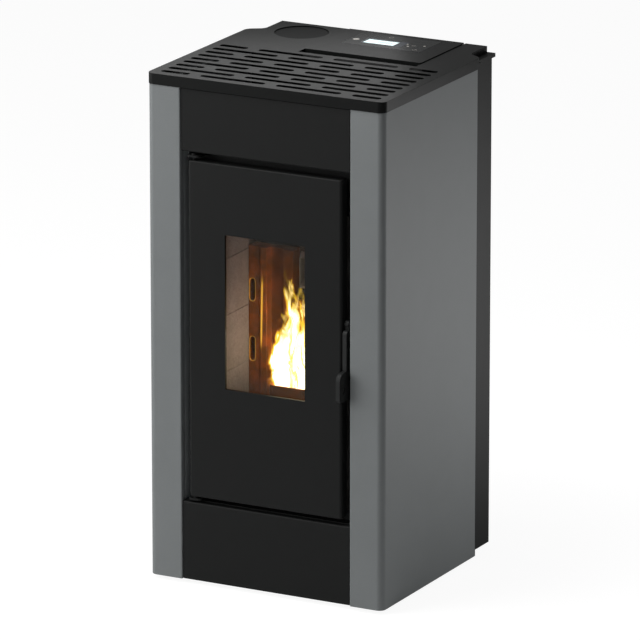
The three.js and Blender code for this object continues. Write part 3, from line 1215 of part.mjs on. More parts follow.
function makeSmokeDuct() {
  const wall = 2;
  const shell = block(DUCT_LEFT, DUCT_RIGHT, REAR_OF_FIREBOX, DUCT_REAR, DUCT_BOTTOM, DUCT_TOP);
  const room = block(DUCT_LEFT + wall, DUCT_RIGHT - wall, REAR_OF_FIREBOX + wall, DUCT_REAR - wall, DUCT_BOTTOM + wall, DUCT_TOP - wall);
  const inlet = block(-FIREBOX_INNER, DUCT_RIGHT - 4, REAR_OF_FIREBOX - 1, REAR_OF_FIREBOX + wall + 1, DUCT_TOP - 60, DUCT_TOP - 5);
  const outlet = deepRod(EXTRACTOR_X, EXTRACTOR_Z, EXTRACTOR_EYE, DUCT_REAR - wall - 1, DUCT_REAR + 1, 32);
  place(airAndSmoke, 'smoke_duct', cut(shell, room, inlet, outlet), HOT_STEEL);
}

const VOLUTE_DROP = 32;

// The volute seen from the front: a round chamber that widens into an upright outlet.
function voluteOutline(inset) {
  const points = [];
  const radius = EXTRACTOR_RADIUS - inset;
  const steps = 18;
  for (let i = 0; i <= steps; i += 1) {
    const angle = Math.PI + (1.42 * Math.PI * i) / steps;
    points.push(new THREE.Vector2(EXTRACTOR_X + radius * Math.cos(angle), EXTRACTOR_Z + radius * Math.sin(angle)));
  }
  const top = FLUE_Z + FLUE_RADIUS + 8 - inset;
  points.push(new THREE.Vector2(FLUE_COVER_X + FLUE_RADIUS + 5 - inset, FLUE_Z - VOLUTE_DROP + inset));
  points.push(new THREE.Vector2(FLUE_COVER_X + FLUE_RADIUS + 5 - inset, top));
  points.push(new THREE.Vector2(EXTRACTOR_X - radius, top));
  return points;
}

function makeExtractorHousing() {
  const wall = 2.5;
  const footHalf = 40;
  const shell = join(
    backwards(voluteOutline(0), EXTRACTOR_FRONT, EXTRACTOR_REAR),
    block(EXTRACTOR_X - footHalf, EXTRACTOR_X + footHalf, EXTRACTOR_REAR - 30, EXTRACTOR_REAR - 27, BASE_TOP + FIT, EXTRACTOR_Z - 50),
    block(EXTRACTOR_X - footHalf, EXTRACTOR_X + footHalf, EXTRACTOR_REAR - 44, EXTRACTOR_REAR - 27, BASE_TOP + FIT, BASE_TOP + FIT + 2.5),
  );
  const housing = cut(
    shell,
    backwards(voluteOutline(wall), EXTRACTOR_FRONT + wall, EXTRACTOR_REAR - wall),
    deepRod(EXTRACTOR_X, EXTRACTOR_Z, EXTRACTOR_EYE, EXTRACTOR_FRONT - 1, EXTRACTOR_FRONT + wall + 1, 32),
    deepRod(FLUE_COVER_X, FLUE_Z, FLUE_RADIUS - PIPE_WALL, EXTRACTOR_REAR - wall - 1, EXTRACTOR_REAR + 1, 32),
    deepRod(EXTRACTOR_X, EXTRACTOR_Z, 6 + FIT, EXTRACTOR_REAR - wall - 1, EXTRACTOR_REAR + 1),
  );
  place(airAndSmoke, 'extractor_housing', housing, ZINC_SHEET);
}

function makeExtractorImpeller() {
  const back = EXTRACTOR_REAR - 10;
  const bladeDepth = 26;
  const parts = [
    deepRod(EXTRACTOR_X, EXTRACTOR_Z, IMPELLER_RADIUS, back - 2, back, 28),
    deepRod(EXTRACTOR_X, EXTRACTOR_Z, 11, back - 18, back - 1, 20),
    deepRod(EXTRACTOR_X, EXTRACTOR_Z, 6, back - 1, EXTRACTOR_REAR - 0.1, 20),
  ];
  for (let i = 0; i < IMPELLER_BLADES; i += 1) {
    const blade = block(8, IMPELLER_RADIUS - 2, back - bladeDepth, back - 1, -1, 1);
    blade.translate(0, -back, 0);
    blade.rotateY((2 * Math.PI * i) / IMPELLER_BLADES);
    parts.push(blade.translate(EXTRACTOR_X, back, EXTRACTOR_Z));
  }
  place(airAndSmoke, 'extractor_impeller', join(...parts), BRIGHT_STEEL);
}

function makeExtractorMotor() {
  const front = EXTRACTOR_REAR + FIT;
  const rear = front + EXTRACTOR_MOTOR_LENGTH;
  const plate = deepRod(EXTRACTOR_X, EXTRACTOR_Z, EXTRACTOR_MOTOR_RADIUS + 4, front, front + 4, 24);
  const can = deepRod(EXTRACTOR_X, EXTRACTOR_Z, EXTRACTOR_MOTOR_RADIUS - 4, front + 3, rear, 24);
  const fan = deepRod(EXTRACTOR_X, EXTRACTOR_Z, EXTRACTOR_MOTOR_RADIUS, rear - 12, rear - 4, 24);
  place(airAndSmoke, 'extractor_motor', join(plate, can, fan), MOTOR_STEEL);
}

function makeFlueCollar() {
  const front = EXTRACTOR_REAR + FIT;
  const pipe = join(
    deepRod(FLUE_COVER_X, FLUE_Z, FLUE_RADIUS, front, FLUE_END, 28),
    deepRod(FLUE_COVER_X, FLUE_Z, FLUE_RADIUS + 4, front, front + 3, 28),
  );
  const bore = deepRod(FLUE_COVER_X, FLUE_Z, FLUE_RADIUS - PIPE_WALL, front - 1, FLUE_END + 1, 28);
  place(airAndSmoke, 'flue_collar', cut(pipe, bore), HOT_STEEL);
}

function makeIntakePipe() {
  const front = REAR_OF_FIREBOX;
  const end = COVER_DEPTH + INTAKE_REACH;
  const pipe = join(
    deepRod(INTAKE_X, INTAKE_Z, INTAKE_RADIUS, front, end, 24),
    deepRod(INTAKE_X, INTAKE_Z, INTAKE_RADIUS + 4, front, front + 2, 24),
  );
  const bore = deepRod(INTAKE_X, INTAKE_Z, INTAKE_RADIUS - PIPE_WALL, front - 1, end + 1, 24);
  place(airAndSmoke, 'air_intake_pipe', cut(pipe, bore), ZINC_SHEET);
}

// ---------------------------------------------------------------------------------------------
// Room-air blower: a cross-flow rotor in a curved housing

function blowerShell(inset) {
  const points = [];
  const radius = ROTOR_RADIUS + 12 - inset;
  for (let i = 0; i <= 16; i += 1) {
    const angle = Math.PI * (1 + i / 16);
    points.push(new THREE.Vector2(BLOWER_Y + radius * Math.cos(angle), BLOWER_Z + radius * Math.sin(angle)));
  }
  points.push(new THREE.Vector2(BLOWER_Y + radius, BLOWER_Z + 20));
  points.push(new THREE.Vector2(BLOWER_Y - 8 - inset, BLOWER_Z + ROTOR_RADIUS + 36));
  points.push(new THREE.Vector2(BLOWER_Y - radius, BLOWER_Z + ROTOR_RADIUS + 36));
  return points;
}

function makeBlowerHousing() {
  const wall = 2;
  const floor = BASE_TOP + FIT;
  const shell = join(
    sideways(blowerShell(0), BLOWER_LEFT, BLOWER_RIGHT),
    block(BLOWER_LEFT, BLOWER_LEFT + 3, BLOWER_Y - 26, BLOWER_Y + 26, floor, BLOWER_Z),
    block(BLOWER_RIGHT - 3, BLOWER_RIGHT, BLOWER_Y - 26, BLOWER_Y + 26, floor, BLOWER_Z),
  );
  const housing = cut(
    shell,
    sideways(blowerShell(wall), BLOWER_LEFT + wall, BLOWER_RIGHT - wall),
    block(BLOWER_LEFT + 12, BLOWER_RIGHT - 12, BLOWER_Y - 34, BLOWER_Y - 12, BLOWER_Z + ROTOR_RADIUS + 20, BLOWER_Z + 90),
    block(BLOWER_LEFT + 12, BLOWER_RIGHT - 12, BLOWER_Y + 20, BLOWER_Y + 60, BLOWER_Z - 22, BLOWER_Z + 14),
    crossRod(BLOWER_Y, BLOWER_Z, 4 + FIT, BLOWER_LEFT - 1, BLOWER_RIGHT + 1, 16),
  );
  place(airAndSmoke, 'blower_housing', housing, ZINC_SHEET);
}

function makeBlowerRotor() {
  const x0 = BLOWER_LEFT + 5;
  const x1 = BLOWER_RIGHT - 5;
  const parts = [
    crossRod(BLOWER_Y, BLOWER_Z, ROTOR_RADIUS, x0, x0 + 2, 24),
    crossRod(BLOWER_Y, BLOWER_Z, ROTOR_RADIUS, x1 - 2, x1, 24),
    crossRod(BLOWER_Y, BLOWER_Z, 4, BLOWER_LEFT - 3, BLOWER_RIGHT + 1, 16),
  ];
  for (let i = 0; i < ROTOR_BLADES; i += 1) {
    const blade = block(x0 + 1, x1 - 1, ROTOR_RADIUS - 9, ROTOR_RADIUS - 1, -0.6, 0.6);
    blade.translate(0, -ROTOR_RADIUS + 5, 0).rotateX(0.55).translate(0, ROTOR_RADIUS - 5, 0);
    blade.rotateX((2 * Math.PI * i) / ROTOR_BLADES);
    parts.push(blade.translate(0, BLOWER_Y, BLOWER_Z));
  }
  place(airAndSmoke, 'blower_rotor', join(...parts), BRIGHT_STEEL);
}

function makeBlowerMotor() {
  const front = BLOWER_RIGHT + FIT;
  const can = crossRod(BLOWER_Y, BLOWER_Z, 24, front, front + BLOWER_MOTOR_LENGTH, 20);
  const plate = crossRod(BLOWER_Y, BLOWER_Z, 30, front, front + 4, 20);
  const socket = crossRod(BLOWER_Y, BLOWER_Z, 4 + FIT, front - 1, front + 6, 16);
  place(airAndSmoke, 'blower_motor', cut(join(can, plate), socket), MOTOR_STEEL);
}

// ---------------------------------------------------------------------------------------------
// Door

function windowOutline(grow) {
  return rectangle(-WINDOW_HALF - grow, WINDOW_HALF + grow, WINDOW_BOTTOM - grow, WINDOW_TOP + grow, WINDOW_CORNER);
}

function makeDoorPanel() {
  const path = outline([
    corner(-DOOR_HALF, DOOR_SKIN_DEPTH), corner(-DOOR_HALF, 0, DOOR_EDGE_RADIUS),
    corner(DOOR_HALF, 0, DOOR_EDGE_RADIUS), corner(DOOR_HALF, DOOR_SKIN_DEPTH),
  ], false);
  const skin = raised(bentSheet(path, SHEET), DOOR_BOTTOM, DOOR_TOP);
  const cap = rectangle(-DOOR_HALF + 0.5, DOOR_HALF - 0.5, 0.5, DOOR_SKIN_DEPTH, DOOR_EDGE_RADIUS);
  const door = cut(
    join(
      skin,
      backwards(windowOutline(SHEET), SHEET / 2, WINDOW_RETURN),
      raised(cap, DOOR_BOTTOM, DOOR_BOTTOM + SHEET),
      raised(cap, DOOR_TOP - SHEET, DOOR_TOP),
    ),
    backwards(windowOutline(0), -1, WINDOW_RETURN + 1),
    uprightRod(HINGE_X, HINGE_Y, HINGE_PIN_RADIUS + FIT, DOOR_BOTTOM - 1, DOOR_BOTTOM + SHEET + 1),
    uprightRod(HINGE_X, HINGE_Y, HINGE_PIN_RADIUS + FIT, DOOR_TOP - SHEET - 1, DOOR_TOP + 1),
    crossRod(HANDLE_PIVOT_Y, HANDLE_PIVOT_Z, HANDLE_PIN_RADIUS + FIT, DOOR_HALF - SHEET - 1, DOOR_HALF + 1),
  );
  place(doorway, 'door_panel', door, BLACK_PAINT);
}

// The inner frame: a plate behind the skin, with a tunnel that presses on the edge of the glass.
function makeDoorFrame() {
  const half = DOOR_HALF - DOOR_FRAME_INSET;
  const plate = block(-half, half, DOOR_FRAME_FRONT, DOOR_FRAME_REAR, DOOR_BOTTOM + DOOR_FRAME_INSET, DOOR_TOP - DOOR_FRAME_INSET);
  const tunnelGrow = GLASS_OVERLAP - 4;
  const tunnel = backwards(windowOutline(tunnelGrow + TUNNEL_WALL), GLASS_REAR + FIT, DOOR_FRAME_FRONT + 1);
  const lugX = DOOR_HALF - SHEET - 8;
  const lug = block(lugX, lugX + 4, PANEL_RECESS + 1, DOOR_FRAME_FRONT + 1, HANDLE_PIVOT_Z - 13, HANDLE_PIVOT_Z + 13);
  const frame = cut(
    join(plate, tunnel, lug),
    backwards(windowOutline(tunnelGrow), GLASS_FRONT, DOOR_FRAME_REAR + 1),
    crossRod(HANDLE_PIVOT_Y, HANDLE_PIVOT_Z, HANDLE_PIN_RADIUS + FIT, lugX - 1, lugX + 5),
  );
  place(doorway, 'door_frame', frame, HOT_STEEL);
}

function makeGlassAndSeal() {
  const glass = backwards(
    rectangle(-GLASS_HALF, GLASS_HALF, GLASS_BOTTOM, GLASS_TOP, 3), GLASS_FRONT, GLASS_REAR,
  );
  place(doorway, 'door_glass', glass, CERAMIC_GLASS);
  const seal = cut(
    backwards(windowOutline(GLASS_OVERLAP - 1), SEAL_FRONT, SEAL_FRONT + GLASS_SEAL_THICKNESS),
    backwards(windowOutline(GLASS_OVERLAP - GLASS_SEAL_WIDTH), SEAL_FRONT - 1, GLASS_FRONT),
  );
  place(doorway, 'glass_seal', seal, FIBRE_ROPE);
}

function makeDoorGasket() {
  const y0 = DOOR_FRAME_REAR + FIT;
  const y1 = FIREBOX_FACE - FIT;
  const x = MOUTH_WIDTH / 2 + 5;
  const z0 = MOUTH_BOTTOM - 5;
  const z1 = MOUTH_TOP + 5;
  const w = GASKET_WIDTH;
  const ring = cut(
    backwards(rectangle(-x - w, x + w, z0 - w, z1 + w, 14), y0, y1),
    backwards(rectangle(-x, x, z0, z1, 8), y0 - 1, y1 + 1),
  );
  place(doorway, 'door_gasket', ring, FIBRE_ROPE);
}

function makeHinge(name, pinName, isUpper) {
  const gapMiddle = isUpper ? (DOOR_TOP + UPPER_PANEL_BOTTOM) / 2 : (LOWER_PANEL_TOP + DOOR_BOTTOM) / 2;
  const z0 = gapMiddle - HINGE_PLATE / 2;
  const z1 = z0 + HINGE_PLATE;
  const x0 = HINGE_X - HINGE_PLATE_WIDTH / 2;
  const x1 = HINGE_X + HINGE_PLATE_WIDTH / 2;
  const seat = FRAME_PLATE_FRONT - FIT;
  const leaf = raised(outline([
    corner(x0, HINGE_Y - 7, 6), corner(x1, HINGE_Y - 7, 6), corner(x1, seat), corner(x0, seat),
  ]), z0, z1);
  const tab = block(x0, x1, seat - 2, seat, z0 - 1, z1 + 3);
  const bore = uprightRod(HINGE_X, HINGE_Y, HINGE_PIN_RADIUS + FIT, z0 - 1, z1 + 1);
  place(doorway, name, cut(join(leaf, tab), bore), MOTOR_STEEL);
  const inDoor = 14;
  const low = isUpper ? DOOR_TOP - inDoor : z0;
  const high = isUpper ? z1 + 2 : DOOR_BOTTOM + inDoor;
  const shoulderLow = z1 + FIT;
  const shoulderHigh = isUpper ? z1 + 3 : DOOR_BOTTOM - FIT;
  const pin = join(
    uprightRod(HINGE_X, HINGE_Y, HINGE_PIN_RADIUS, low, high),
    uprightRod(HINGE_X, HINGE_Y, HINGE_PIN_RADIUS + 2.5, shoulderLow, shoulderHigh),
  );
  place(doorway, pinName, pin, BRIGHT_STEEL);
}

// The lever seen from the right-hand side: a round head, a slim bar, a finger tab that reaches
// forward, and a nose at the back that bears on the underside of the keeper pin.
function handleOutline() {
  const rear = HANDLE_BAR_DEPTH;
  const radius = HANDLE_HEAD_RADIUS;
  const noseEnd = KEEPER_Y + 5;
  const noseTop = KEEPER_Z - KEEPER_PIN_RADIUS - FIT;
  return outline([
    corner(rear, HANDLE_BOTTOM, 3), corner(-HANDLE_REACH + 6, HANDLE_BOTTOM, 6),
    corner(-HANDLE_REACH, HANDLE_BOTTOM + 14, 10), corner(-HANDLE_REACH, HANDLE_TAB_TOP - 20, 12),
    corner(0, HANDLE_TAB_TOP, 12), corner(0, HANDLE_PIVOT_Z - radius - 4, 6),
    corner(HANDLE_PIVOT_Y - radius, HANDLE_PIVOT_Z - radius / 2, 3),
    corner(HANDLE_PIVOT_Y - radius, HANDLE_PIVOT_Z + radius, radius - 0.1),
    corner(HANDLE_PIVOT_Y + radius, HANDLE_PIVOT_Z + radius, radius - 0.1),
    corner(HANDLE_PIVOT_Y + radius, HANDLE_PIVOT_Z - radius / 2, 5),
    corner(rear, HANDLE_PIVOT_Z - radius - 6, 6),
    corner(rear, noseTop), corner(noseEnd, noseTop, 2), corner(noseEnd, noseTop - 7, 2),
    corner(rear, noseTop - 18, 4),
  ]);
}

function makeHandle() {
  const right = HANDLE_LEFT + HANDLE_THICKNESS;
  const lever = sideways(handleOutline(), HANDLE_LEFT, right);
  const bore = crossRod(HANDLE_PIVOT_Y, HANDLE_PIVOT_Z, HANDLE_PIN_RADIUS + FIT, HANDLE_LEFT - 1, right + 1);
  const dish = crossRod(-HANDLE_REACH / 2, HANDLE_BOTTOM + 22, 7, right - 2, right + 1, 24);
  place(doorway, 'door_handle', cut(lever, bore, dish), BLACK_PAINT);
  const pin = join(
    crossRod(HANDLE_PIVOT_Y, HANDLE_PIVOT_Z, HANDLE_PIN_RADIUS, DOOR_HALF - 14, right + 1),
    crossRod(HANDLE_PIVOT_Y, HANDLE_PIVOT_Z, HANDLE_PIN_RADIUS + 1.6, right + FIT, right + 2.3),
  );
  place(doorway, 'handle_pin', pin, BRIGHT_STEEL);
}

function makeKeeper() {
  const right = FLANGE_EDGE - FIT;
  const left = HANDLE_LEFT - 3;
  const seat = FRAME_PLATE_FRONT - FIT;
  const ear = 3;
  const keeper = join(
    block(left, right, seat - 2, seat, KEEPER_Z - 14, KEEPER_Z + 14),
    block(right - ear, right, KEEPER_Y - 6, seat - 1, KEEPER_Z - 8, KEEPER_Z + 8),
    crossRod(KEEPER_Y, KEEPER_Z, KEEPER_PIN_RADIUS, HANDLE_LEFT, right - 1),
  );
  place(doorway, 'latch_keeper', keeper, MOTOR_STEEL);
}

// ---------------------------------------------------------------------------------------------
// Electrics

function makeMainBoard() {
  const wall = REAR_HALF - SHEET - FIT;
  const rear = REAR_INNER - 6.5;
  const front = rear - BOARD_TRAY_WIDTH;
  const z0 = BOARD_TRAY_BOTTOM;
  const z1 = z0 + BOARD_TRAY_HEIGHT;
  const face = wall - BOARD_STANDOFF;
  const parts = [
    block(wall - 3, wall, front, rear, z0, z1),
    block(face - 1, face + BOARD_THICKNESS - 1, front + 4, rear - 4, z0 + 6, z1 - 6),
  ];
  [front + 8, rear - 8].forEach((y) => [z0 + 12, z1 - 12].forEach((z) => {
    parts.push(crossRod(y, z, 3, face, wall - 2, 12));
  }));
  const transformer = block(face - 21, face, front + 12, front + 42, z0 + 18, z0 + 50);
  const terminals = block(face - 15, face, front + 12, rear - 14, z0 + 80, z0 + 96);
  const relays = block(face - 11, face, front + 14, rear - 14, z0 + 122, z0 + 140);
  place(electrics, 'main_board', join(...parts, transformer, terminals, relays), DARK_PLASTIC);
}

function makePowerInlet() {
  const front = REAR_INNER - 22;
  const rear = COVER_DEPTH + 2;
  const body = join(
    block(INLET_X - 14 + FIT, INLET_X + 14 - FIT, front, rear, INLET_Z - 24 + FIT, INLET_Z + 24 - FIT),
    backwards(rectangle(INLET_X - 19, INLET_X + 19, INLET_Z - 29, INLET_Z + 29, 4), COVER_DEPTH + FIT, rear),
  );
  const socket = backwards(outline([
    corner(INLET_X - 11, INLET_Z - 20), corner(INLET_X + 11, INLET_Z - 20), corner(INLET_X + 11, INLET_Z - 6),
    corner(INLET_X + 7, INLET_Z - 2), corner(INLET_X - 7, INLET_Z - 2), corner(INLET_X - 11, INLET_Z - 6),
  ]), rear - 14, rear + 1);
  const pins = [-6, 0, 6].map((dx) => block(
    INLET_X + dx - 1, INLET_X + dx + 1, rear - 15, rear - 4,
    INLET_Z - 14 + (dx === 0 ? 4 : 0), INLET_Z - 10 + (dx === 0 ? 4 : 0),
  ));
  const switchWell = block(INLET_X - 11, INLET_X + 11, rear - 14, rear + 1, INLET_Z + 4, INLET_Z + 18);
  place(electrics, 'power_inlet', join(cut(body, socket, switchWell), ...pins), DARK_PLASTIC);
}

function makePowerSwitch() {
  const middle = INLET_Z + 11;
  const rear = COVER_DEPTH + 2;
  const axleY = rear - 5;
  const rocker = sideways(outline([
    corner(axleY - 5, middle - 4), corner(axleY + 4, middle - 5.6, 0.8), corner(axleY + 5.4, middle + 0.2, 4),
    corner(axleY + 6.4, middle + 5.4, 0.8), corner(axleY - 5, middle + 4),
  ]), INLET_X - 11 + FIT, INLET_X + 11 - FIT);
  place(electrics, 'power_switch', rocker, DARK_PLASTIC);
}

function makeThermostatCap() {
  const cap = join(
    deepRod(THERMOSTAT_X, THERMOSTAT_Z, 6, REAR_INNER - 10, COVER_DEPTH + 3, 20),
    deepRod(THERMOSTAT_X, THERMOSTAT_Z, 9, COVER_DEPTH + FIT, COVER_DEPTH + 9, 12),
  );
  place(electrics, 'thermostat_cap', cap, DARK_PLASTIC);
}

// ---------------------------------------------------------------------------------------------
// Assembly

makeBasePlate();
makeFeet();
makeSidePanel('left_side_panel', true);
makeSidePanel('right_side_panel', false);
makeRearPanel();
makeFrontPanel('lower_front_panel', CASING_LIFT, LOWER_PANEL_TOP, LOWER_PANEL_TOP, CASING_LIFT);
makeFrontPanel('upper_front_panel', UPPER_PANEL_BOTTOM, CASING_TOP, UPPER_PANEL_BOTTOM, CASING_TOP);
makeFrontFrame();
makeTopCover();
makeFlueCover();
makeHopperLid();
makeLidPin();
makeControlPanel();
makeDisplayHousing();
makeHopper();
makeHopperGasket();
makeHopperGrille();
makeAugerTube();
makeAugerScrew();
makeAugerMotor();
makePelletChute();
makeFireboxBody();
makeBackLiner();
makeSideLiner('left_liner', -1);
makeSideLiner('right_liner', 1);
makeBaffle();
makeHeatExchanger();
makeBurnPot();
makePotHolder();
makeIgniter();
makeAshPan();
makeSmokeDuct();
makeExtractorHousing();
makeExtractorImpeller();
makeExtractorMotor();
makeFlueCollar();
makeIntakePipe();
makeBlowerHousing();
makeBlowerRotor();
makeBlowerMotor();
makeDoorPanel();
makeDoorFrame();
makeGlassAndSeal();
makeDoorGasket();
makeHinge('upper_hinge_bracket', 'upper_hinge_pin', true);
makeHinge('lower_hinge_bracket', 'lower_hinge_pin', false);
makeHandle();
makeKeeper();
makeMainBoard();
makePowerInlet();
makePowerSwitch();
makeThermostatCap();

export default stove;
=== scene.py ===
"""Builds the looks of a free-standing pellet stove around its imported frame.

Lengths are in metres. The stove stands on the floor and faces -Y.
"""

import json
import math
import random

import bpy
from bpy.props import FloatProperty, FloatVectorProperty, IntProperty, PointerProperty
from mathutils import Euler, Matrix, Vector


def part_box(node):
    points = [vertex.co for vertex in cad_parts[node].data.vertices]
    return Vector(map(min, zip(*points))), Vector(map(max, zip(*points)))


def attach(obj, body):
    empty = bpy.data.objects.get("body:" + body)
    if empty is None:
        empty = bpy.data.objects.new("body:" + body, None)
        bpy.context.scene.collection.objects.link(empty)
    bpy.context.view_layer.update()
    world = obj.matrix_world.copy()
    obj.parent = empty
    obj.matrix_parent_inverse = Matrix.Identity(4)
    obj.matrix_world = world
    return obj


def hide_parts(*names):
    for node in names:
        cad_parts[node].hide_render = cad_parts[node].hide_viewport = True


bl_info = {
    "name": "Pellet Stove",
    "version": (1, 0, 0),
    "blender": (4, 5, 0),
    "location": "View3D > Sidebar > Stove",
    "description": "Models and finishes the pieces of a pellet stove around its frame",
    "category": "Object",
}

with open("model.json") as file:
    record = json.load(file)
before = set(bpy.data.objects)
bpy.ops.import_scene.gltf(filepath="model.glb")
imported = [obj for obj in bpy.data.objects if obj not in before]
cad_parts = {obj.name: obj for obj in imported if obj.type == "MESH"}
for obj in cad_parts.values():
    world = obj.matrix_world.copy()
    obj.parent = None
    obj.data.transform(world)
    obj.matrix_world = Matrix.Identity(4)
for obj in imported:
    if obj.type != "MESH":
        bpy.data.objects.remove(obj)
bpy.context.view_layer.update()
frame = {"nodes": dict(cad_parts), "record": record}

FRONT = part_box("right_side_panel")[0].y
CLEARANCE = 0.0003  # between two pieces that fit together
SHEET = 0.0015
PAST = 0.01  # how far a cutter reaches past what it cuts
KNUCKLE_RISE = 0.0015  # the hinge knuckles stand this much above the cover's sheet
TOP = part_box("top_cover")[1].z - KNUCKLE_RISE


def at(x, y, z):
    """A point whose depth is counted back from the front face of the casing."""
    return Vector((x, FRONT + y, z))


# ------------------------------------------------------------------------------------------
# Sizes and colours


class StoveSizes(bpy.types.PropertyGroup):
    """Sizes of the bends, edges and patterns that the frame leaves plain."""

    corner_radius: FloatProperty(
        name="Corner radius", description="Outer radius of the casing's front corners",
        default=0.013, min=0.002, unit="LENGTH",
    )
    bend_radius: FloatProperty(
        name="Bend radius", description="Outer radius of a sharp fold in the sheet",
        default=0.0022, min=0.0005, unit="LENGTH",
    )
    door_bend_radius: FloatProperty(
        name="Door bend radius", description="Outer radius of the door's long edges",
        default=0.005, min=0.001, unit="LENGTH",
    )
    edge_width: FloatProperty(
        name="Edge width", description="Width of the rounding on cut edges",
        default=0.0006, min=0.0001, unit="LENGTH",
    )
    slot_width: FloatProperty(
        name="Slot width", description="Width of the slots of the warm-air grille",
        default=0.014, min=0.004, unit="LENGTH",
    )
    slot_pitch: FloatProperty(
        name="Slot pitch", description="Distance between two rows of slots",
        default=0.0274, min=0.01, unit="LENGTH",
    )
    slot_rows: IntProperty(name="Slot rows", description="Rows of slots in the grille", default=9, min=1)
    flame_height: FloatProperty(
        name="Flame height", description="Height of the tallest flame above the burn pot",
        default=0.245, min=0.05, unit="LENGTH",
    )


class StoveColours(bpy.types.PropertyGroup):
    """Colours of the main finishes."""

    grey_paint: FloatVectorProperty(
        name="Grey paint", description="Powder coat of the side panels",
        default=(0.179, 0.190, 0.192), size=3, min=0, max=1, subtype="COLOR",
    )
    black_paint: FloatVectorProperty(
        name="Black paint", description="Powder coat of the front panels and the door",
        default=(0.0082, 0.0086, 0.0084), size=3, min=0, max=1, subtype="COLOR",
    )
    cover_paint: FloatVectorProperty(
        name="Cover paint", description="Powder coat of the top cover and the hopper lid",
        default=(0.0065, 0.0070, 0.0068), size=3, min=0, max=1, subtype="COLOR",
    )
    fire_board: FloatVectorProperty(
        name="Fire board", description="Pressed board that lines the fire chamber",
        default=(0.36, 0.33, 0.33), size=3, min=0, max=1, subtype="COLOR",
    )
    flame: FloatVectorProperty(
        name="Flame", description="Body of the flames",
        default=(1.0, 0.30, 0.03), size=3, min=0, max=1, subtype="COLOR",
    )


# ------------------------------------------------------------------------------------------
# Shader expressions


class Wire:
    """An output socket that can be used in an expression."""

    def __init__(self, shader, socket):
        self.shader = shader
        self.socket = socket

    def _math(self, operation, first, second):
        return self.shader.node("Math", {"operation": operation}, {0: first, 1: second})

    def __add__(self, other):
        return self._math("ADD", self, other)

    __radd__ = __add__

    def __sub__(self, other):
        return self._math("SUBTRACT", self, other)

    def __rsub__(self, other):
        return self._math("SUBTRACT", other, self)

    def __mul__(self, other):
        return self._math("MULTIPLY", self, other)

    __rmul__ = __mul__

    def __truediv__(self, other):
        return self._math("DIVIDE", self, other)

    def __rtruediv__(self, other):
        return self._math("DIVIDE", other, self)

    def __pow__(self, other):
        return self._math("POWER", self, other)

    def __abs__(self):
        return self._math("ABSOLUTE", self, 0)

    def above(self, limit):
        return self._math("GREATER_THAN", self, limit)

    def larger(self, other):
        return self._math("MAXIMUM", self, other)

    def smaller(self, other):
        return self._math("MINIMUM", self, other)

    def sine(self):
        return self._math("SINE", self, 0)

    def between(self, low, high):
        """0 below low, 1 above high, and smooth in between."""
        settings = {"interpolation_type": "SMOOTHSTEP"}
        return self.shader.node("MapRange", settings, {"Value": self, "From Min": low, "From Max": high})


class Shader:
    """A procedural material, written as expressions."""

    def __init__(self, name):
        self.material = bpy.data.materials.new(name)
        self.material.use_nodes = True
        self.tree = self.material.node_tree
        self.tree.nodes.clear()

    def node(self, kind, settings=None, inputs=None, output=0):
        """Adds a node with its settings and inputs, and returns the wire of one of its outputs."""
        made = self.tree.nodes.new("ShaderNode" + kind)
        for key, value in (settings or {}).items():
            setattr(made, key, value)
        for key, value in (inputs or {}).items():
            self.feed(made.inputs[key], value)
        return Wire(self, made.outputs[output])

    def feed(self, socket, value):
        if isinstance(value, Wire):
            self.tree.links.new(value.socket, socket)
        elif socket.type == "RGBA" and len(value) == 3:
            socket.default_value = (*value, 1)
        else:
            socket.default_value = value

    def place(self):
        return self.node("TexCoord", output="Object")

    def chart(self):
        return self.node("TexCoord", output="UV")

    def axes(self, vector):
        return [self.node("SeparateXYZ", None, {0: vector}, axis) for axis in "XYZ"]

    def noise(self, scale, detail=2.0, roughness=0.5, vector=None, distortion=0.0):
        inputs = {
            "Vector": vector or self.place(), "Scale": scale, "Detail": detail,
            "Roughness": roughness, "Distortion": distortion,
        }
        return self.node("TexNoise", None, inputs)

    def stretched(self, x, y, z, vector=None):
        inputs = {0: vector or self.place(), 1: (x, y, z)}
        return self.node("VectorMath", {"operation": "MULTIPLY"}, inputs)

    def mix(self, factor, first, second):
        """A colour between two colours."""
        return self.node("Mix", {"data_type": "RGBA"}, {0: factor, 6: first, 7: second}, 2)

    def bump(self, height, distance, strength=1.0, normal=None):
        inputs = {"Height": height, "Distance": distance, "Strength": strength}
        if normal:
            inputs["Normal"] = normal
        return self.node("Bump", None, inputs)

    def surface(self, **inputs):
        named = {key.replace("_", " ").title().replace("Ior", "IOR"): value for key, value in inputs.items()}
        self.close(self.node("BsdfPrincipled", None, named))
        return self.material

    def close(self, wire):
        end = self.tree.nodes.new("ShaderNodeOutputMaterial")
        self.tree.links.new(wire.socket, end.inputs["Surface"])


def shade(colour, factor):
    return tuple(channel * factor for channel in colour)


# ------------------------------------------------------------------------------------------
# Finishes

GRAIN_SCALE = 900
MOTTLE_SCALE = 14


def powder_coat(name, colour, roughness, sheen=0.2, grain_depth=0.00006):
    """Fine textured powder coat: an even colour, a fine grain and a faint mottle."""
    s = Shader(name)
    grain = s.noise(GRAIN_SCALE, 2.5, 0.6)
    mottle = s.noise(MOTTLE_SCALE, 3, 0.55)
    colour_field = s.mix(mottle.between(0.3, 0.7), shade(colour, 0.98), shade(colour, 1.02))
    speckle = s.mix(grain.between(0.45, 0.75) * 0.35, colour_field, shade(colour, 1.2))
    return s.surface(
        base_color=speckle,
        roughness=roughness + 0.1 * (grain - 0.5) + 0.03 * (mottle - 0.5),
        metallic=0.0,
        specular_ior_level=sheen,
        normal=s.bump(grain, grain_depth, 0.5),
    )


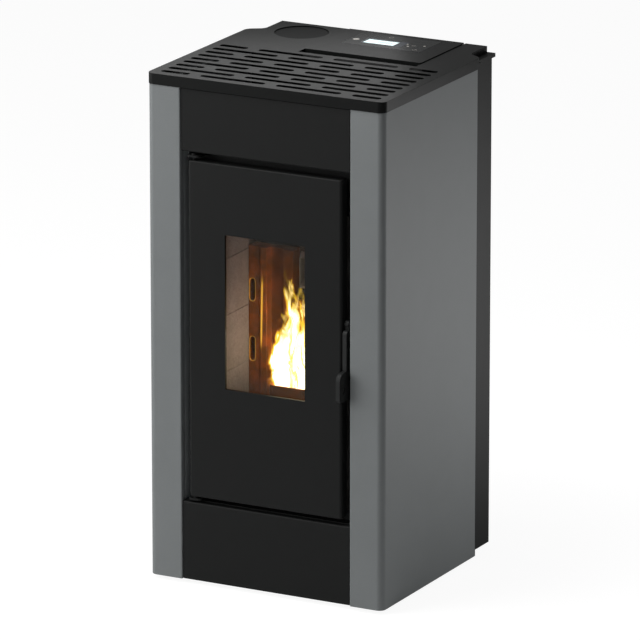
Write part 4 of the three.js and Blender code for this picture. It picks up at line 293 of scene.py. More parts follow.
def sooty_steel(name, colour):
    """Heat-darkened sheet steel with blotches of soot."""
    s = Shader(name)
    soot = s.noise(26, 5, 0.6)
    grain = s.noise(420, 3, 0.6)
    tone = s.mix(soot.between(0.35, 0.7), shade(colour, 0.55), shade(colour, 1.3))
    return s.surface(
        base_color=s.mix(grain * 0.3, tone, shade(colour, 1.6)),
        roughness=0.62 + 0.2 * soot,
        metallic=0.35,
        normal=s.bump(grain, 0.00012, 0.5),
    )


def galvanised(name, colour):
    """Zinc-coated sheet with its patches of crystals."""
    s = Shader(name)
    spangle = s.node("TexVoronoi", {"feature": "F1"}, {"Vector": s.place(), "Scale": 170.0}, "Color")
    tone, *_ = s.axes(spangle)
    fine = s.noise(500, 2)
    return s.surface(
        base_color=s.mix(tone, shade(colour, 0.82), shade(colour, 1.12)),
        roughness=0.36 + 0.16 * tone + 0.06 * fine,
        metallic=0.85,
        normal=s.bump(fine, 0.00004, 0.4),
    )


def rusty_skin(s, sand, colour):
    """The colours of a casting: rust-brown and soot-black patches under bright grains."""
    patch = s.noise(32, 4, 0.6)
    tone = s.mix(patch.between(0.35, 0.72), shade(colour, 0.6), (colour[0] * 1.5, colour[1] * 1.1, colour[2]))
    return s.mix(sand.between(0.5, 0.8) * 0.5, tone, shade(colour, 1.9))


def raw_cast_iron(name, colour):
    """Sand-cast iron with a coarse skin."""
    s = Shader(name)
    sand = s.noise(620, 4, 0.7)
    return s.surface(
        base_color=rusty_skin(s, sand, colour),
        roughness=0.5 + 0.16 * sand,
        metallic=0.5,
        normal=s.bump(sand, 0.0004, 0.7),
    )


LINER_SLOT_HEIGHTS = ((0.384, 0.430), (0.497, 0.540))


def painted_rib_highlight(x, z):
    """A painted highlight: a narrow streak of the flames' reflection along the left rib, faded at both ends.
    """
    rib, middle, lean = -0.098, 0.478, 0.02
    along = abs(z - middle).between(0.075, 0.045)
    return abs(x - rib - (z - middle) * lean).between(0.0032, 0.0) * along


def painted_slot_glints(x, z):
    """A painted highlight: a thin glint line round each slot on the left."""
    radius = 0.0055
    across = x + (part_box("back_liner")[1].x - 0.008)
    painted_rim_glints = 0
    for low, high in LINER_SLOT_HEIGHTS:
        reach = (abs(z - (low + high) / 2) - ((high - low) / 2 - radius)).larger(0)
        painted_rim_glints = painted_rim_glints + abs((across * across + reach * reach) ** 0.5 - radius).between(0.0014, 0.0004)
    return painted_rim_glints


def iron_with_painted_glints(name, colour, fire):
    """The chamber's cast back: darker right of its left end; painted highlights on a rib and round its slots.
    """
    s = Shader(name)
    x, y, z = s.axes(s.place())
    sand = s.noise(620, 4, 0.7)
    face = 1 - y.above(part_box("back_liner")[0].y + 0.0062)
    # painted highlights: the fire's glints on the rib and round the slots, given off as emission
    painted_glint = (painted_rib_highlight(x, z) + painted_slot_glints(x, z) * face * 0.5).smaller(1)
    # darker everywhere right of the left end of the back
    soot = x.between(-0.092, -0.075) * 0.6
    return s.surface(
        base_color=s.mix(soot, rusty_skin(s, sand, colour), shade(colour, 0.2)),
        roughness=0.5 + 0.16 * sand,
        metallic=0.5,
        emission_color=s.mix(painted_glint, (0, 0, 0), fire),
        emission_strength=1.0,
        normal=s.bump(sand, 0.0004, 0.7),
    )


def pressed_board(name, colour):
    """Pressed mineral board: glittering flakes, pale, dusted with ash and soot towards its top."""
    s = Shader(name)
    flake = s.node("TexVoronoi", {"feature": "F1"}, {"Vector": s.place(), "Scale": 330.0}, "Color")
    tone, *_ = s.axes(flake)
    _, _, height = s.axes(s.place())
    soot = (s.noise(18, 5, 0.6) * 0.9 + (height - 0.3) * 1.1).between(0.45, 0.95)
    pale = s.mix(tone, shade(colour, 0.84), shade(colour, 1.12))
    return s.surface(
        base_color=s.mix(soot * 0.3, pale, (0.06, 0.045, 0.038)),
        roughness=0.78 + 0.14 * tone,
        metallic=0.0,
        normal=s.bump(tone + s.noise(900, 2) * 0.6, 0.0003, 0.6),
    )


def turned_steel(name, colour, roughness=0.28):
    """Machined steel with fine tool lines along one axis."""
    s = Shader(name)
    lines = s.noise(60, 3, 0.6, s.stretched(1, 1, 60))
    return s.surface(
        base_color=s.mix(lines, shade(colour, 0.85), shade(colour, 1.1)),
        roughness=roughness + 0.14 * (lines - 0.5),
        metallic=0.95,
        normal=s.bump(lines, 0.00003, 0.5),
    )


def moulded_plastic(name, colour, roughness, gloss=0.0):
    """Moulded plastic with a fine spark-eroded grain."""
    s = Shader(name)
    grain = s.noise(1300, 2, 0.6)
    haze = s.noise(20, 3)
    return s.surface(
        base_color=s.mix(haze, shade(colour, 0.9), shade(colour, 1.15)),
        roughness=roughness + 0.08 * (grain - 0.5),
        metallic=0.0,
        coat_weight=gloss,
        normal=s.bump(grain, 0.00003, 0.3),
    )


def dark_glass_panel(name):
    """Printed glass: almost black, very smooth, with a trace of haze."""
    s = Shader(name)
    haze = s.noise(9, 3)
    return s.surface(
        base_color=s.mix(haze, (0.005, 0.006, 0.006), (0.008, 0.009, 0.009)),
        roughness=0.24 + 0.06 * haze,
        metallic=0.0,
        specular_ior_level=0.16,
    )


def ceramic_glass(name):
    """Clear heat-proof glass with a slight brown tint and a breath of ash near its edges."""
    s = Shader(name)
    low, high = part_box("door_glass")
    x, _, z = s.axes(s.place())
    reach = abs(x / high.x).larger(abs((z - (low.z + high.z) / 2) / ((high.z - low.z) / 2)))
    ash = reach.between(0.6, 1.0) * (0.3 + 0.7 * s.noise(30, 4))
    return s.surface(
        base_color=s.mix(ash, (0.03, 0.02, 0.012), (0.10, 0.075, 0.055)),
        roughness=0.04 + 0.1 * ash,
        metallic=0.0,
        alpha=0.13 + 0.2 * ash,
    )


def woven_rope(name, colour):
    """Glass-fibre rope: a plait of crossing strands."""
    s = Shader(name)
    x, _, z = s.axes(s.place())
    strand = ((x + z) * 1900).sine() * ((x - z) * 1900).sine()
    fuzz = s.noise(700, 3, 0.7)
    return s.surface(
        base_color=s.mix(strand.between(-0.6, 0.8), shade(colour, 0.5), shade(colour, 1.3)),
        roughness=0.88 + 0.08 * fuzz,
        metallic=0.0,
        normal=s.bump(strand + fuzz, 0.0006, 0.7),
    )


def lit_display(name):
    """A lit display: a pale glow, brightest at its middle, with a row of dark segments."""
    s = Shader(name)
    low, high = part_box("display_lcd")
    x, y, _ = s.axes(s.place())
    across = (x - (low.x + high.x) / 2) / (high.x - low.x) * 2
    along = (y - (low.y + high.y) / 2) / (high.y - low.y) * 2
    fall = 1 - (across * across + along * along) * 0.12
    glow = s.mix(fall, (0.42, 0.70, 0.74), (0.80, 0.95, 0.96))
    row = abs(along - 0.05).between(0.34, 0.16) * (abs(across - 0.22).between(0.5, 0.46))
    segment = row * (x * 1500).sine().above(-0.2)
    tone = s.mix(segment * 0.8, glow, (0.16, 0.34, 0.40))
    return s.surface(
        base_color=tone,
        roughness=0.25 + 0.05 * s.noise(800),
        emission_color=tone,
        emission_strength=0.5,
    )


def frame_paint_with_painted_light(name, black, grey):
    """The recess paint: black, with painted light on a strip left of the door; cheeks in the side panels'
    grey, painted paler.
    """
    s = Shader(name)
    x, _, _ = s.axes(s.place())
    grain = s.noise(GRAIN_SCALE, 2.5, 0.6)
    cheek = abs(x).above(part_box("front_frame")[1].x - SHEET - CLEARANCE)
    # painted light: the strip left of the door is painted paler and bluer than the black
    strip = 1 - x.above(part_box("door_panel")[0].x)
    dark = s.mix(strip, black, (black[0] * 2.0, black[1] * 2.5, black[2] * 2.8))
    return s.surface(
        # the cheeks take the side panels' grey, painted 2.2 times paler as painted light
        base_color=s.mix(cheek, dark, shade(grey, 2.2)),
        roughness=0.5 + 0.1 * (grain - 0.5),
        metallic=0.0,
        specular_ior_level=0.2,
        normal=s.bump(grain, 0.00006, 0.5),
    )


def flame_light(name, colour, strength):
    """A tongue of fire on its own chart: white-hot inside, yellow and orange outside, torn all over."""
    s = Shader(name)
    u, v, _ = s.axes(s.chart())
    lick = s.noise(62, 3, 0.55, s.stretched(1, 1, 0.36), 0.7) - 0.5
    sway = s.noise(15, 2, 0.5, s.stretched(1, 1, 0.5)) - 0.5
    across = abs(u * 2 - 1 + sway * 0.8 * v) + lick * 0.9
    width = (1 - v) ** 0.6
    body = 1 - (across / width.larger(0.02)).between(0.35, 1.0)
    tip = 1 - (v + lick * 0.8).between(0.6, 0.95)
    heat = (body - lick * 0.9) * (1 - v * 0.55)
    hot = s.mix(heat.between(0.5, 0.85), (0.28, 0.175, 0.008), (0.9, 0.8, 0.5))
    warm = s.mix(heat.between(0.2, 0.45), shade(colour, 0.17), hot)
    tone = s.mix(heat.between(0.0, 0.2), (0.06, 0.010, 0.001), warm)
    return s.surface(
        base_color=(0.0, 0.0, 0.0),
        roughness=1.0,
        alpha=(body * 1.6).smaller(1) * tip * 0.9,
        emission_color=tone,
        emission_strength=strength,
    )


def ember_light(name):
    """Burning pellets: charred, with orange cracks and white-hot patches."""
    s = Shader(name)
    patch = s.noise(55, 3, 0.6)
    crack = s.noise(420, 3, 0.7)
    heat = (patch * 0.7 + crack * 0.5).between(0.42, 0.78)
    return s.surface(
        base_color=s.mix(heat, (0.02, 0.012, 0.008), (0.25, 0.06, 0.015)),
        roughness=0.9 + 0.05 * crack,
        emission_color=s.mix(heat, (0.25, 0.015, 0.001), (1.0, 0.42, 0.10)),
        emission_strength=4.0,
        normal=s.bump(crack, 0.0006, 0.7),
    )


RUST = (0.40, 0.145, 0.022)


def make_finishes(colours):
    """Every finish, by the record's material slot."""
    return {
        "grey_paint": powder_coat("grey_paint", colours.grey_paint, 0.5),
        "black_paint": powder_coat("black_paint", colours.black_paint, 0.5, 0.14),
        "cover_paint": powder_coat("cover_paint", colours.cover_paint, 0.38, 0.10, 0.0001),
        "hot_steel": sooty_steel("hot_steel", (0.055, 0.050, 0.047)),
        "zinc_sheet": galvanised("zinc_sheet", (0.50, 0.52, 0.54)),
        "cast_iron": raw_cast_iron("cast_iron", RUST),
        "fire_board": pressed_board("fire_board", colours.fire_board),
        "bright_steel": turned_steel("bright_steel", (0.62, 0.62, 0.62)),
        "motor_steel": turned_steel("motor_steel", (0.035, 0.036, 0.037), 0.42),
        "dark_plastic": moulded_plastic("dark_plastic", (0.014, 0.014, 0.015), 0.5),
        "glossy_fascia": dark_glass_panel("glossy_fascia"),
        "fibre_rope": woven_rope("fibre_rope", (0.16, 0.155, 0.15)),
        "seal_rubber": moulded_plastic("seal_rubber", (0.016, 0.016, 0.016), 0.75),
        "ceramic_glass": ceramic_glass("ceramic_glass"),
        "lcd_glass": lit_display("lcd_glass"),
    }


FINISHES = {}
NODE_SLOTS = {part["node"]: part["material_slot"] for part in frame["record"]["subparts"]}


NODE_LOOKS = {
    "front_frame": "frame_paint_with_painted_light", "upper_hinge_pin": "black_paint", "lower_hinge_pin": "black_paint",
    "upper_hinge_bracket": "black_paint", "lower_hinge_bracket": "black_paint",
    "handle_pin": "motor_steel", "hopper": "black_paint", "back_liner": "iron_with_painted_glints",
}


def finish_piece(piece, body, slot, nodes=(), look=None):
    """Gives a finished piece its material, its body and the nodes that it stands for.

    Fire and printed marks have a finish that is no slot of the record.
    """
    piece.data.materials.clear()
    piece.data.materials.append(FINISHES[look or slot])
    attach(piece, body)
    if nodes:
        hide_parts(*nodes)
    return piece


# ------------------------------------------------------------------------------------------
# Modelling by hand


def deselect():
    if bpy.context.object and bpy.context.object.mode != "OBJECT":
        bpy.ops.object.mode_set(mode="OBJECT")
    bpy.ops.object.select_all(action="DESELECT")


def activate(piece):
    deselect()
    piece.select_set(True)
    bpy.context.view_layer.objects.active = piece


def settle(piece, name=None):
    """Puts a new primitive's place, turn and scale into its mesh."""
    activate(piece)
    bpy.ops.object.transform_apply(location=True, rotation=True, scale=True)
    if name:
        piece.name = name
        piece.data.name = name
    return piece


def cuboid(low, high, name="block"):
    low, high = Vector(low), Vector(high)
    deselect()
    bpy.ops.mesh.primitive_cube_add(size=1, location=(low + high) / 2)
    piece = bpy.context.object
    piece.scale = high - low
    return settle(piece, name)


AXIS_TURNS = {"X": (0, math.pi / 2, 0), "Y": (-math.pi / 2, 0, 0), "Z": (0, 0, 0)}


def cylinder(centre, radius, length, axis="Z", vertices=48, name="rod", top_radius=None):
    deselect()
    bpy.ops.mesh.primitive_cone_add(
        vertices=vertices, radius1=radius, radius2=radius if top_radius is None else top_radius,
        depth=length, location=centre, rotation=AXIS_TURNS[axis],
    )
    return settle(bpy.context.object, name)


def edit_edges(piece, test):
    """Goes into edit mode with only the edges selected whose two ends pass the test."""
    activate(piece)
    bpy.ops.object.mode_set(mode="EDIT")
    bpy.ops.mesh.select_mode(type="EDGE")
    bpy.ops.mesh.select_all(action="DESELECT")
    bpy.ops.object.mode_set(mode="OBJECT")
    points = piece.data.vertices
    for edge in piece.data.edges:
        a, b = (points[i].co for i in edge.vertices)
        edge.select = bool(test(a, b))
    bpy.ops.object.mode_set(mode="EDIT")


def edit_faces(piece, test):
    """Goes into edit mode with only the faces selected whose centre and normal pass the test."""
    activate(piece)
    bpy.ops.object.mode_set(mode="EDIT")
    bpy.ops.mesh.select_mode(type="FACE")
    bpy.ops.mesh.select_all(action="DESELECT")
    bpy.ops.object.mode_set(mode="OBJECT")
    for face in piece.data.polygons:
        face.select = bool(test(face.center, face.normal))
    bpy.ops.object.mode_set(mode="EDIT")


def edit_all(piece):
    """Goes into edit mode with everything selected."""
    activate(piece)
    bpy.ops.object.mode_set(mode="EDIT")
    bpy.ops.mesh.select_all(action="SELECT")


def object_mode():
    bpy.ops.object.mode_set(mode="OBJECT")


def slice_at(piece, depth):
    """Splits every face that crosses a depth, and takes nothing away."""
    edit_all(piece)
    bpy.ops.mesh.bisect(plane_co=(0, depth, 0), plane_no=(0, 1, 0))
    object_mode()


def face_outwards(piece):
    edit_all(piece)
    bpy.ops.mesh.normals_make_consistent(inside=False)
    object_mode()


def round_edges(piece, radius, segments, test):
    """Rounds the edges that pass the test."""
    edit_edges(piece, test)
    bpy.ops.mesh.bevel(offset=radius, segments=segments, affect="EDGES", clamp_overlap=True)
    object_mode()
    return piece


def inset_block(low, high, margin, bottom, top, name="block"):
    """A block over the plan of a box, drawn in by a margin."""
    return cuboid((low.x + margin, low.y + margin, bottom), (high.x - margin, high.y - margin, top), name)


def runs_along(axis):
    """A test for edges that run along one axis."""
    index = "XYZ".index(axis)

    def test(a, b):
        run = b - a
        return abs(run[index]) > 0.98 * run.length > 0

    return test


def modify(piece, kind, **settings):
    """Adds a modifier, sets it and applies it."""
    activate(piece)
    modifier = piece.modifiers.new(kind.lower(), kind)
    for key, value in settings.items():
        setattr(modifier, key, value)
    bpy.ops.object.modifier_apply(modifier=modifier.name)
    return piece


def carve(piece, *cutters):
    """Cuts the cutters out of the piece and throws them away."""
    for cutter in cutters:
        modify(piece, "BOOLEAN", operation="DIFFERENCE", solver="EXACT", object=cutter)
        bpy.data.objects.remove(cutter, do_unlink=True)
    return piece


def unite(piece, *others):
    """Welds the others to the piece as one solid."""
    for other in others:
        modify(piece, "BOOLEAN", operation="UNION", solver="EXACT", object=other)
        bpy.data.objects.remove(other, do_unlink=True)
    return piece


def gather(piece, *others):
    """Puts several solids in one piece."""
    activate(piece)
    for other in others:
        other.select_set(True)
    bpy.ops.object.join()
    return piece


def soften(piece, width, segments=2, angle=math.radians(35)):
    """Rounds every sharp edge a little and smooths the shading of the rest."""
    modify(
        piece, "BEVEL", width=width, segments=segments, limit_method="ANGLE",
        angle_limit=angle, harden_normals=False, use_clamp_overlap=True,
    )
    activate(piece)
    bpy.ops.object.shade_smooth_by_angle(angle=math.radians(38))
    return modify(piece, "WEIGHTED_NORMAL", keep_sharp=True)


def copy_of(piece, offset, name):
    """A copy with its own mesh, moved by an offset."""
    activate(piece)
    bpy.ops.object.duplicate()
    twin = bpy.context.object
    twin.location = offset
    return settle(twin, name)


def folded_sheet(name, path, radii, span, lift, thickness=SHEET):
    """A strip folded along a path and given its thickness.

    path holds the points of the outer face in order, radii the bend at each inner point, span the
    vector from one long edge of the strip to the other, and lift a direction that points outwards
    from the first stretch.
    """
    points = [Vector(point) for point in path]
    first = points[1] - points[0]
    deselect()
    bpy.ops.mesh.primitive_plane_add(size=1)
    piece = bpy.context.object
    turn = Matrix((first.normalized(), span.normalized(), first.cross(span).normalized())).transposed()
    piece.matrix_world = (
        Matrix.Translation((points[0] + points[1] + span) / 2)
        @ turn.to_4x4()
        @ Matrix.Diagonal((first.length, span.length, 1, 1))
    )
    settle(piece, name)
    for here, ahead in zip(points[1:], points[2:]):
        edit_edges(piece, touches_line(here, span))
        bpy.ops.mesh.extrude_region_move(TRANSFORM_OT_translate={"value": ahead - here})
        object_mode()
    for corner, radius in zip(points[1:-1], radii):
        if radius:
            segments = 10 if radius > 0.004 else 4
            edit_edges(piece, touches_line(corner, span))
            bpy.ops.mesh.bevel(offset=radius, segments=segments, affect="EDGES")
            object_mode()
    face_outwards(piece)
    middle = (points[0] + points[1] + span) / 2
    nearest = min(piece.data.polygons, key=lambda face: (face.center - middle).length)
    if nearest.normal.dot(lift) < 0:
        edit_all(piece)
        bpy.ops.mesh.flip_normals()
        object_mode()
    return modify(piece, "SOLIDIFY", thickness=thickness, offset=-1, use_even_offset=True)


def touches_line(point, span):
    """A test for edges that lie on the line through a point along span."""
    along = span.normalized()

    def off(vertex):
        reach = vertex - point
        return (reach - along * reach.dot(along)).length

    def test(a, b):
        return off(a) < 1e-5 and off(b) < 1e-5 and (a - b).length > 1e-5

    return test


def tube(name, centre, radius, start, end, wall, beads=(), vertices=72):
    """A thin pipe along Y with raised beads round it."""
    bead_half = 0.003
    bead_height = 0.0012
    deselect()
    bpy.ops.mesh.primitive_cylinder_add(
        vertices=vertices, radius=radius, depth=end - start, end_fill_type="NOTHING",
        location=(centre[0], (start + end) / 2, centre[1]), rotation=AXIS_TURNS["Y"],
    )
    piece = settle(bpy.context.object, name)
    for bead in beads:
        for place in (bead - bead_half, bead, bead + bead_half):
            slice_at(piece, place)
        swell = (radius + bead_height) / radius
        for vertex in piece.data.vertices:
            if abs(vertex.co.y - bead) < 1e-5:
                vertex.co.x = centre[0] + (vertex.co.x - centre[0]) * swell
                vertex.co.z = centre[1] + (vertex.co.z - centre[1]) * swell
    face_outwards(piece)
    return modify(piece, "SOLIDIFY", thickness=wall, offset=-1)


# ------------------------------------------------------------------------------------------
# Casing


class STOVE_OT_side_panels(bpy.types.Operator):
    """Make the two painted side panels with their rounded front corners"""

    bl_idname = "stove.side_panels"
    bl_label = "Side Panels"

    def execute(self, context):
        sizes = context.scene.stove_sizes
        return_depth = 0.014
        rear_return = 0.013
        for node, side in (("left_side_panel", -1), ("right_side_panel", 1)):
            low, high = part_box(node)
            edge, outer = (low.x, high.x) if side > 0 else (high.x, low.x)
            path = [
                (edge, low.y + return_depth, low.z), (edge, low.y, low.z), (outer, low.y, low.z),
                (outer, high.y, low.z), (outer - side * rear_return, high.y, low.z),
            ]
            radii = (sizes.bend_radius, sizes.corner_radius, sizes.bend_radius)
            span = Vector((0, 0, high.z - low.z))
            panel = folded_sheet(node + "_skin", path, radii, span, Vector((-side, 0, 0)))
            inner = outer - side * SHEET * 0.5
            flange = outer - side * 0.022
            for z in (low.z, high.z - SHEET):
                shelf = cuboid(
                    (min(inner, flange), low.y + sizes.corner_radius, z),
                    (max(inner, flange), high.y - SHEET / 2, z + SHEET), "shelf",
                )
                panel = gather(panel, shelf)
            soften(panel, 0.0003, 1)
            finish_piece(panel, "stove", "grey_paint", [node])
        return {"FINISHED"}


class STOVE_OT_front_panels(bpy.types.Operator):
    """Make the black panels above and below the door"""

    bl_idname = "stove.front_panels"
    bl_label = "Front Panels"

    def execute(self, context):
        sizes = context.scene.stove_sizes
        short = 0.014
        for node, upper in (("lower_front_panel", False), ("upper_front_panel", True)):
            low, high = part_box(node)
            top_return = low.y + short if upper else high.y
            bottom_return = high.y if upper else low.y + short
            path = [
                (low.x, top_return, high.z), (low.x, low.y, high.z),
                (low.x, low.y, low.z), (low.x, bottom_return, low.z),
            ]
            span = Vector((high.x - low.x, 0, 0))
            radii = (sizes.bend_radius * 1.5,) * 2
            panel = folded_sheet(node + "_skin", path, radii, span, Vector((0, 0, 1)))
            for x in (low.x, high.x - SHEET):
                side = cuboid((x, low.y + 0.001, low.z + 0.001), (x + SHEET, low.y + short, high.z - 0.001))
                panel = gather(panel, side)
            soften(panel, 0.0003, 1)
            finish_piece(panel, "stove", "black_paint", [node])
        return {"FINISHED"}


class STOVE_OT_rear_panel(bpy.types.Operator):
    """Make the rear panel with its hemmed rim, vents and holes"""

    bl_idname = "stove.rear_panel"
    bl_label = "Rear Panel"

    def execute(self, context):
        sizes = context.scene.stove_sizes
        low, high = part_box("rear_panel")
        step = low.y
        rear = FRONT + 0.462
        half = 0.222
        rim_low = high.z - 0.007
        wing = low.y + SHEET
        path = [
            (high.x, wing, low.z), (half, wing, low.z), (half, rear, low.z),
            (-half, rear, low.z), (-half, wing, low.z), (low.x, wing, low.z),
        ]
        radii = (sizes.bend_radius, 0.003, 0.003, sizes.bend_radius)
        span = Vector((0, 0, rim_low + 0.001 - low.z))
        panel = folded_sheet("rear_panel_skin", path, radii, span, Vector((0, 1, 0)))
        cutters = [vent_slot(row, rear) for row in range(6)]
        holes = {"flue_collar": 0.0403, "air_intake_pipe": 0.0253, "thermostat_cap": 0.0063}
        for node, radius in holes.items():
            a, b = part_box(node)
            cutters.append(cylinder(((a.x + b.x) / 2, rear, (a.z + b.z) / 2), radius, 2 * PAST, "Y", 64))
        a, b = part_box("power_inlet")
        flange = 0.005
        cutters.append(cuboid(
            (a.x + flange, rear - PAST, a.z + flange), (b.x - flange, rear + PAST, b.z - flange),
        ))
        carve(panel, *cutters)
        rim = rim_bar(step, rear, rim_low, high)
        foot_depth = 0.022
        foot = cuboid((-half + 0.001, rear - foot_depth, low.z), (half - 0.001, rear - 0.001, low.z + SHEET))
        panel = gather(panel, rim, foot)
        soften(panel, 0.0004, 2)
        finish_piece(panel, "stove", "black_paint", ["rear_panel"])
        return {"FINISHED"}


def vent_slot(row, rear):
    """A cutter for one rounded vent of the rear panel."""
    lowest, pitch, width = 0.062, 0.016, 0.006
    left, right = -0.06, 0.04
    z = lowest + row * pitch
    slot = cuboid((left, rear - PAST, z), (right, rear + PAST, z + width))
    return round_edges(slot, 0.0029, 5, runs_along("Y"))


def rim_bar(step, rear, rim_low, high):
    """The hemmed rim: a rounded bar round three sides, wider ahead of the notches."""
    shoulder, outer, inner = 0.236, 0.226, 0.206
    waist = FRONT + 0.391
    bar = cuboid((-outer, step, rim_low), (outer, high.y, high.z), "rim")
    wide = cuboid((-shoulder, step, rim_low), (shoulder, waist, high.z))
    unite(bar, wide)
    return carve(bar, cuboid((-inner, step - PAST, rim_low - PAST), (inner, rear - SHEET, high.z + PAST)))


class STOVE_OT_feet(bpy.types.Operator):
    """Make the four levelling feet"""

    bl_idname = "stove.feet"
    bl_label = "Levelling Feet"

    def execute(self, context):
        nodes = ("front_left_foot", "front_right_foot", "rear_left_foot", "rear_right_foot")
        low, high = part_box(nodes[0])
        centre = (low + high) / 2
        first = model_foot(centre.x, centre.y, high.z)
        for node in nodes:
            a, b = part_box(node)
            offset = ((a.x + b.x) / 2 - centre.x, (a.y + b.y) / 2 - centre.y, 0)
            foot = copy_of(first, offset, node + "_turned")
            finish_piece(foot, node, "dark_plastic", [node])
        bpy.data.objects.remove(first, do_unlink=True)
        return {"FINISHED"}


def model_foot(x, y, top):
    """A moulded pad with grip notches, a hexagon above it and a threaded stem."""
    pad = cylinder((x, y, 0.002), 0.019, 0.004, vertices=64)
    ring, count = 0.0193, 20
    notches = []
    for turn in (math.tau * i / count for i in range(count)):
        place = (x + ring * math.cos(turn), y + ring * math.sin(turn), 0.0035)
        notches.append(cylinder(place, 0.0012, 0.004, vertices=12))
    carve(pad, gather(*notches))
    soften(pad, 0.0006, 2)
    cone = cylinder((x, y, 0.0052), 0.0165, 0.0026, vertices=48, top_radius=0.008)
    nut = cylinder((x, y, 0.0068), 0.0078, 0.0024, vertices=6)
    stem = cylinder((x, y, (0.007 + top) / 2), 0.0042, top - 0.007, vertices=24)
    threads = []
    pitch = 0.0012
    for i in range(int((top - 0.010) / pitch)):
        z = 0.0092 + i * pitch
        threads.append(cylinder((x, y, z), 0.0046, pitch * 0.5, vertices=24, top_radius=0.0042))
    return gather(pad, cone, nut, stem, *threads)


# ------------------------------------------------------------------------------------------
# Top


def grille_slots(sizes, top):
    """A cutter for each slot: rows of three long slots between rows of short, long, long, short."""
    span = 0.443
    gap = 0.023
    short = 0.057
    first_row = 0.0236
    slots = []
    for row in range(sizes.slot_rows):
        middle = (span - 2 * short - 3 * gap) / 2
        lengths = [short, middle, middle, short] if row % 2 == 0 else [(span - 2 * gap) / 3] * 3
        y = FRONT + first_row + row * sizes.slot_pitch
        x = -span / 2
        for length in lengths:
            half = sizes.slot_width / 2
            slot = cuboid((x, y - half, top - 0.006), (x + length, y + half, top + 0.002))
            slots.append(round_edges(slot, half * 0.98, 8, runs_along("Z")))
            x += length + gap
    return slots


COVER_PLATE = 0.001


class STOVE_OT_top_cover(bpy.types.Operator):
    """Make the slotted top cover with its notched rear corners"""

    bl_idname = "stove.top_cover"
    bl_label = "Top Cover"

    def execute(self, context):
        sizes = context.scene.stove_sizes
        low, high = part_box("top_cover")
        cover = cover_shell(low, high, sizes.corner_radius + 0.001)
        carve(cover, *cover_openings(low, high))
        carve(cover, gather(*grille_slots(sizes, TOP)))
        sink_flue_well(cover)
        add_fixed_knuckles(cover, *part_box("hopper_lid"), high.y)
        soften(cover, sizes.edge_width, 2)
        finish_piece(cover, "stove", "cover_paint", ["top_cover"])
        return {"FINISHED"}


def cover_shell(low, high, corner_radius):
    """The hollow cover with its rounded rim, narrower behind its rear corners."""
    wall = 0.002
    shoulder, waist = FRONT + 0.377, FRONT + 0.395
    narrow = 0.211
    cover = cuboid((low.x, low.y, low.z), (high.x, high.y, TOP), "top_cover_shell")
    for depth in (shoulder, waist):
        slice_at(cover, depth)
    for vertex in cover.data.vertices:
        if vertex.co.y > waist - 1e-4:
            vertex.co.x = math.copysign(narrow, vertex.co.x)
    round_edges(cover, corner_radius, 10, upright_at(low.y))
    round_edges(cover, 0.009, 8, upright_at(shoulder, waist))
    round_edges(cover, 0.0016, 3, lambda a, b: min(a.z, b.z) > TOP - 1e-5 and min(a.y, b.y) < high.y - 1e-4)
    edit_faces(cover, lambda centre, normal: normal.z < -0.9)
    bpy.ops.mesh.inset(thickness=wall, use_boundary=True)
    bpy.ops.mesh.extrude_region_move(TRANSFORM_OT_translate={"value": (0, 0, TOP - COVER_PLATE - low.z)})
    object_mode()
    return cover


def cover_openings(low, high):
    """Cutters for the seat on the rear panel's rim, and for the lid with its finger gap."""
    lid_low, lid_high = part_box("hopper_lid")
    side_gap = 0.0015
    finger_gap = 0.022
    left, right = lid_low.x - side_gap, lid_high.x + side_gap
    rim_front, lid_rear = FRONT + 0.368, FRONT + 0.4555
    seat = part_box("rear_panel")[1].z + CLEARANCE
    return (
        cuboid((low.x - PAST, rim_front, low.z - PAST), (high.x + PAST, high.y + PAST, seat)),
        cuboid((left, lid_low.y - finger_gap, TOP - 0.005), (right, lid_rear + 0.001, TOP + PAST)),
        cuboid((left, lid_rear, TOP - 0.0048), (right, high.y + PAST, TOP + PAST)),
    )


def sink_flue_well(cover):
    """A round well with a ledge, on which the flue cover lies."""
    low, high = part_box("flue_cover_disc")
    x, y = (low.x + high.x) / 2, (low.y + high.y) / 2
    ledge = high.z - 0.002 - CLEARANCE
    bottom, top = ledge - 0.002, TOP - COVER_PLATE + 0.001
    unite(cover, cylinder((x, y, (bottom + top) / 2), 0.0533, top - bottom, vertices=96))
    carve(
        cover,
        cylinder((x, y, ledge + PAST), 0.0503, 2 * PAST, vertices=96),
        cylinder((x, y, ledge), 0.0463, 0.03, vertices=96),
    )


def upright_at(*depths):
    """A test for upright edges at given depths."""
    upright = runs_along("Z")

    def test(a, b):
        return upright(a, b) and any(abs(a.y - depth) < 1e-4 for depth in depths)

    return test


KNUCKLE_RADIUS = 0.003
PIN_BORE = 0.0018


def add_fixed_knuckles(cover, lid_low, lid_high, rear):
    """The hinge knuckles at both ends of the lid, welded to the cover's rear edge."""
    y = rear - KNUCKLE_RADIUS
    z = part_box("top_cover")[1].z - KNUCKLE_RADIUS
    length = 0.025
    for x in (lid_low.x + 0.002 + length / 2, lid_high.x - 0.002 - length / 2):
        knuckle = cylinder((x, y, z), KNUCKLE_RADIUS, length, "X", 32)
        root = cuboid((x - length / 2, y - 0.001, TOP - 0.007), (x + length / 2, rear, z - 0.001))
        unite(knuckle, root)
        carve(knuckle, cylinder((x, y, z), PIN_BORE, length + PAST, "X", 24))
        gather(cover, knuckle)


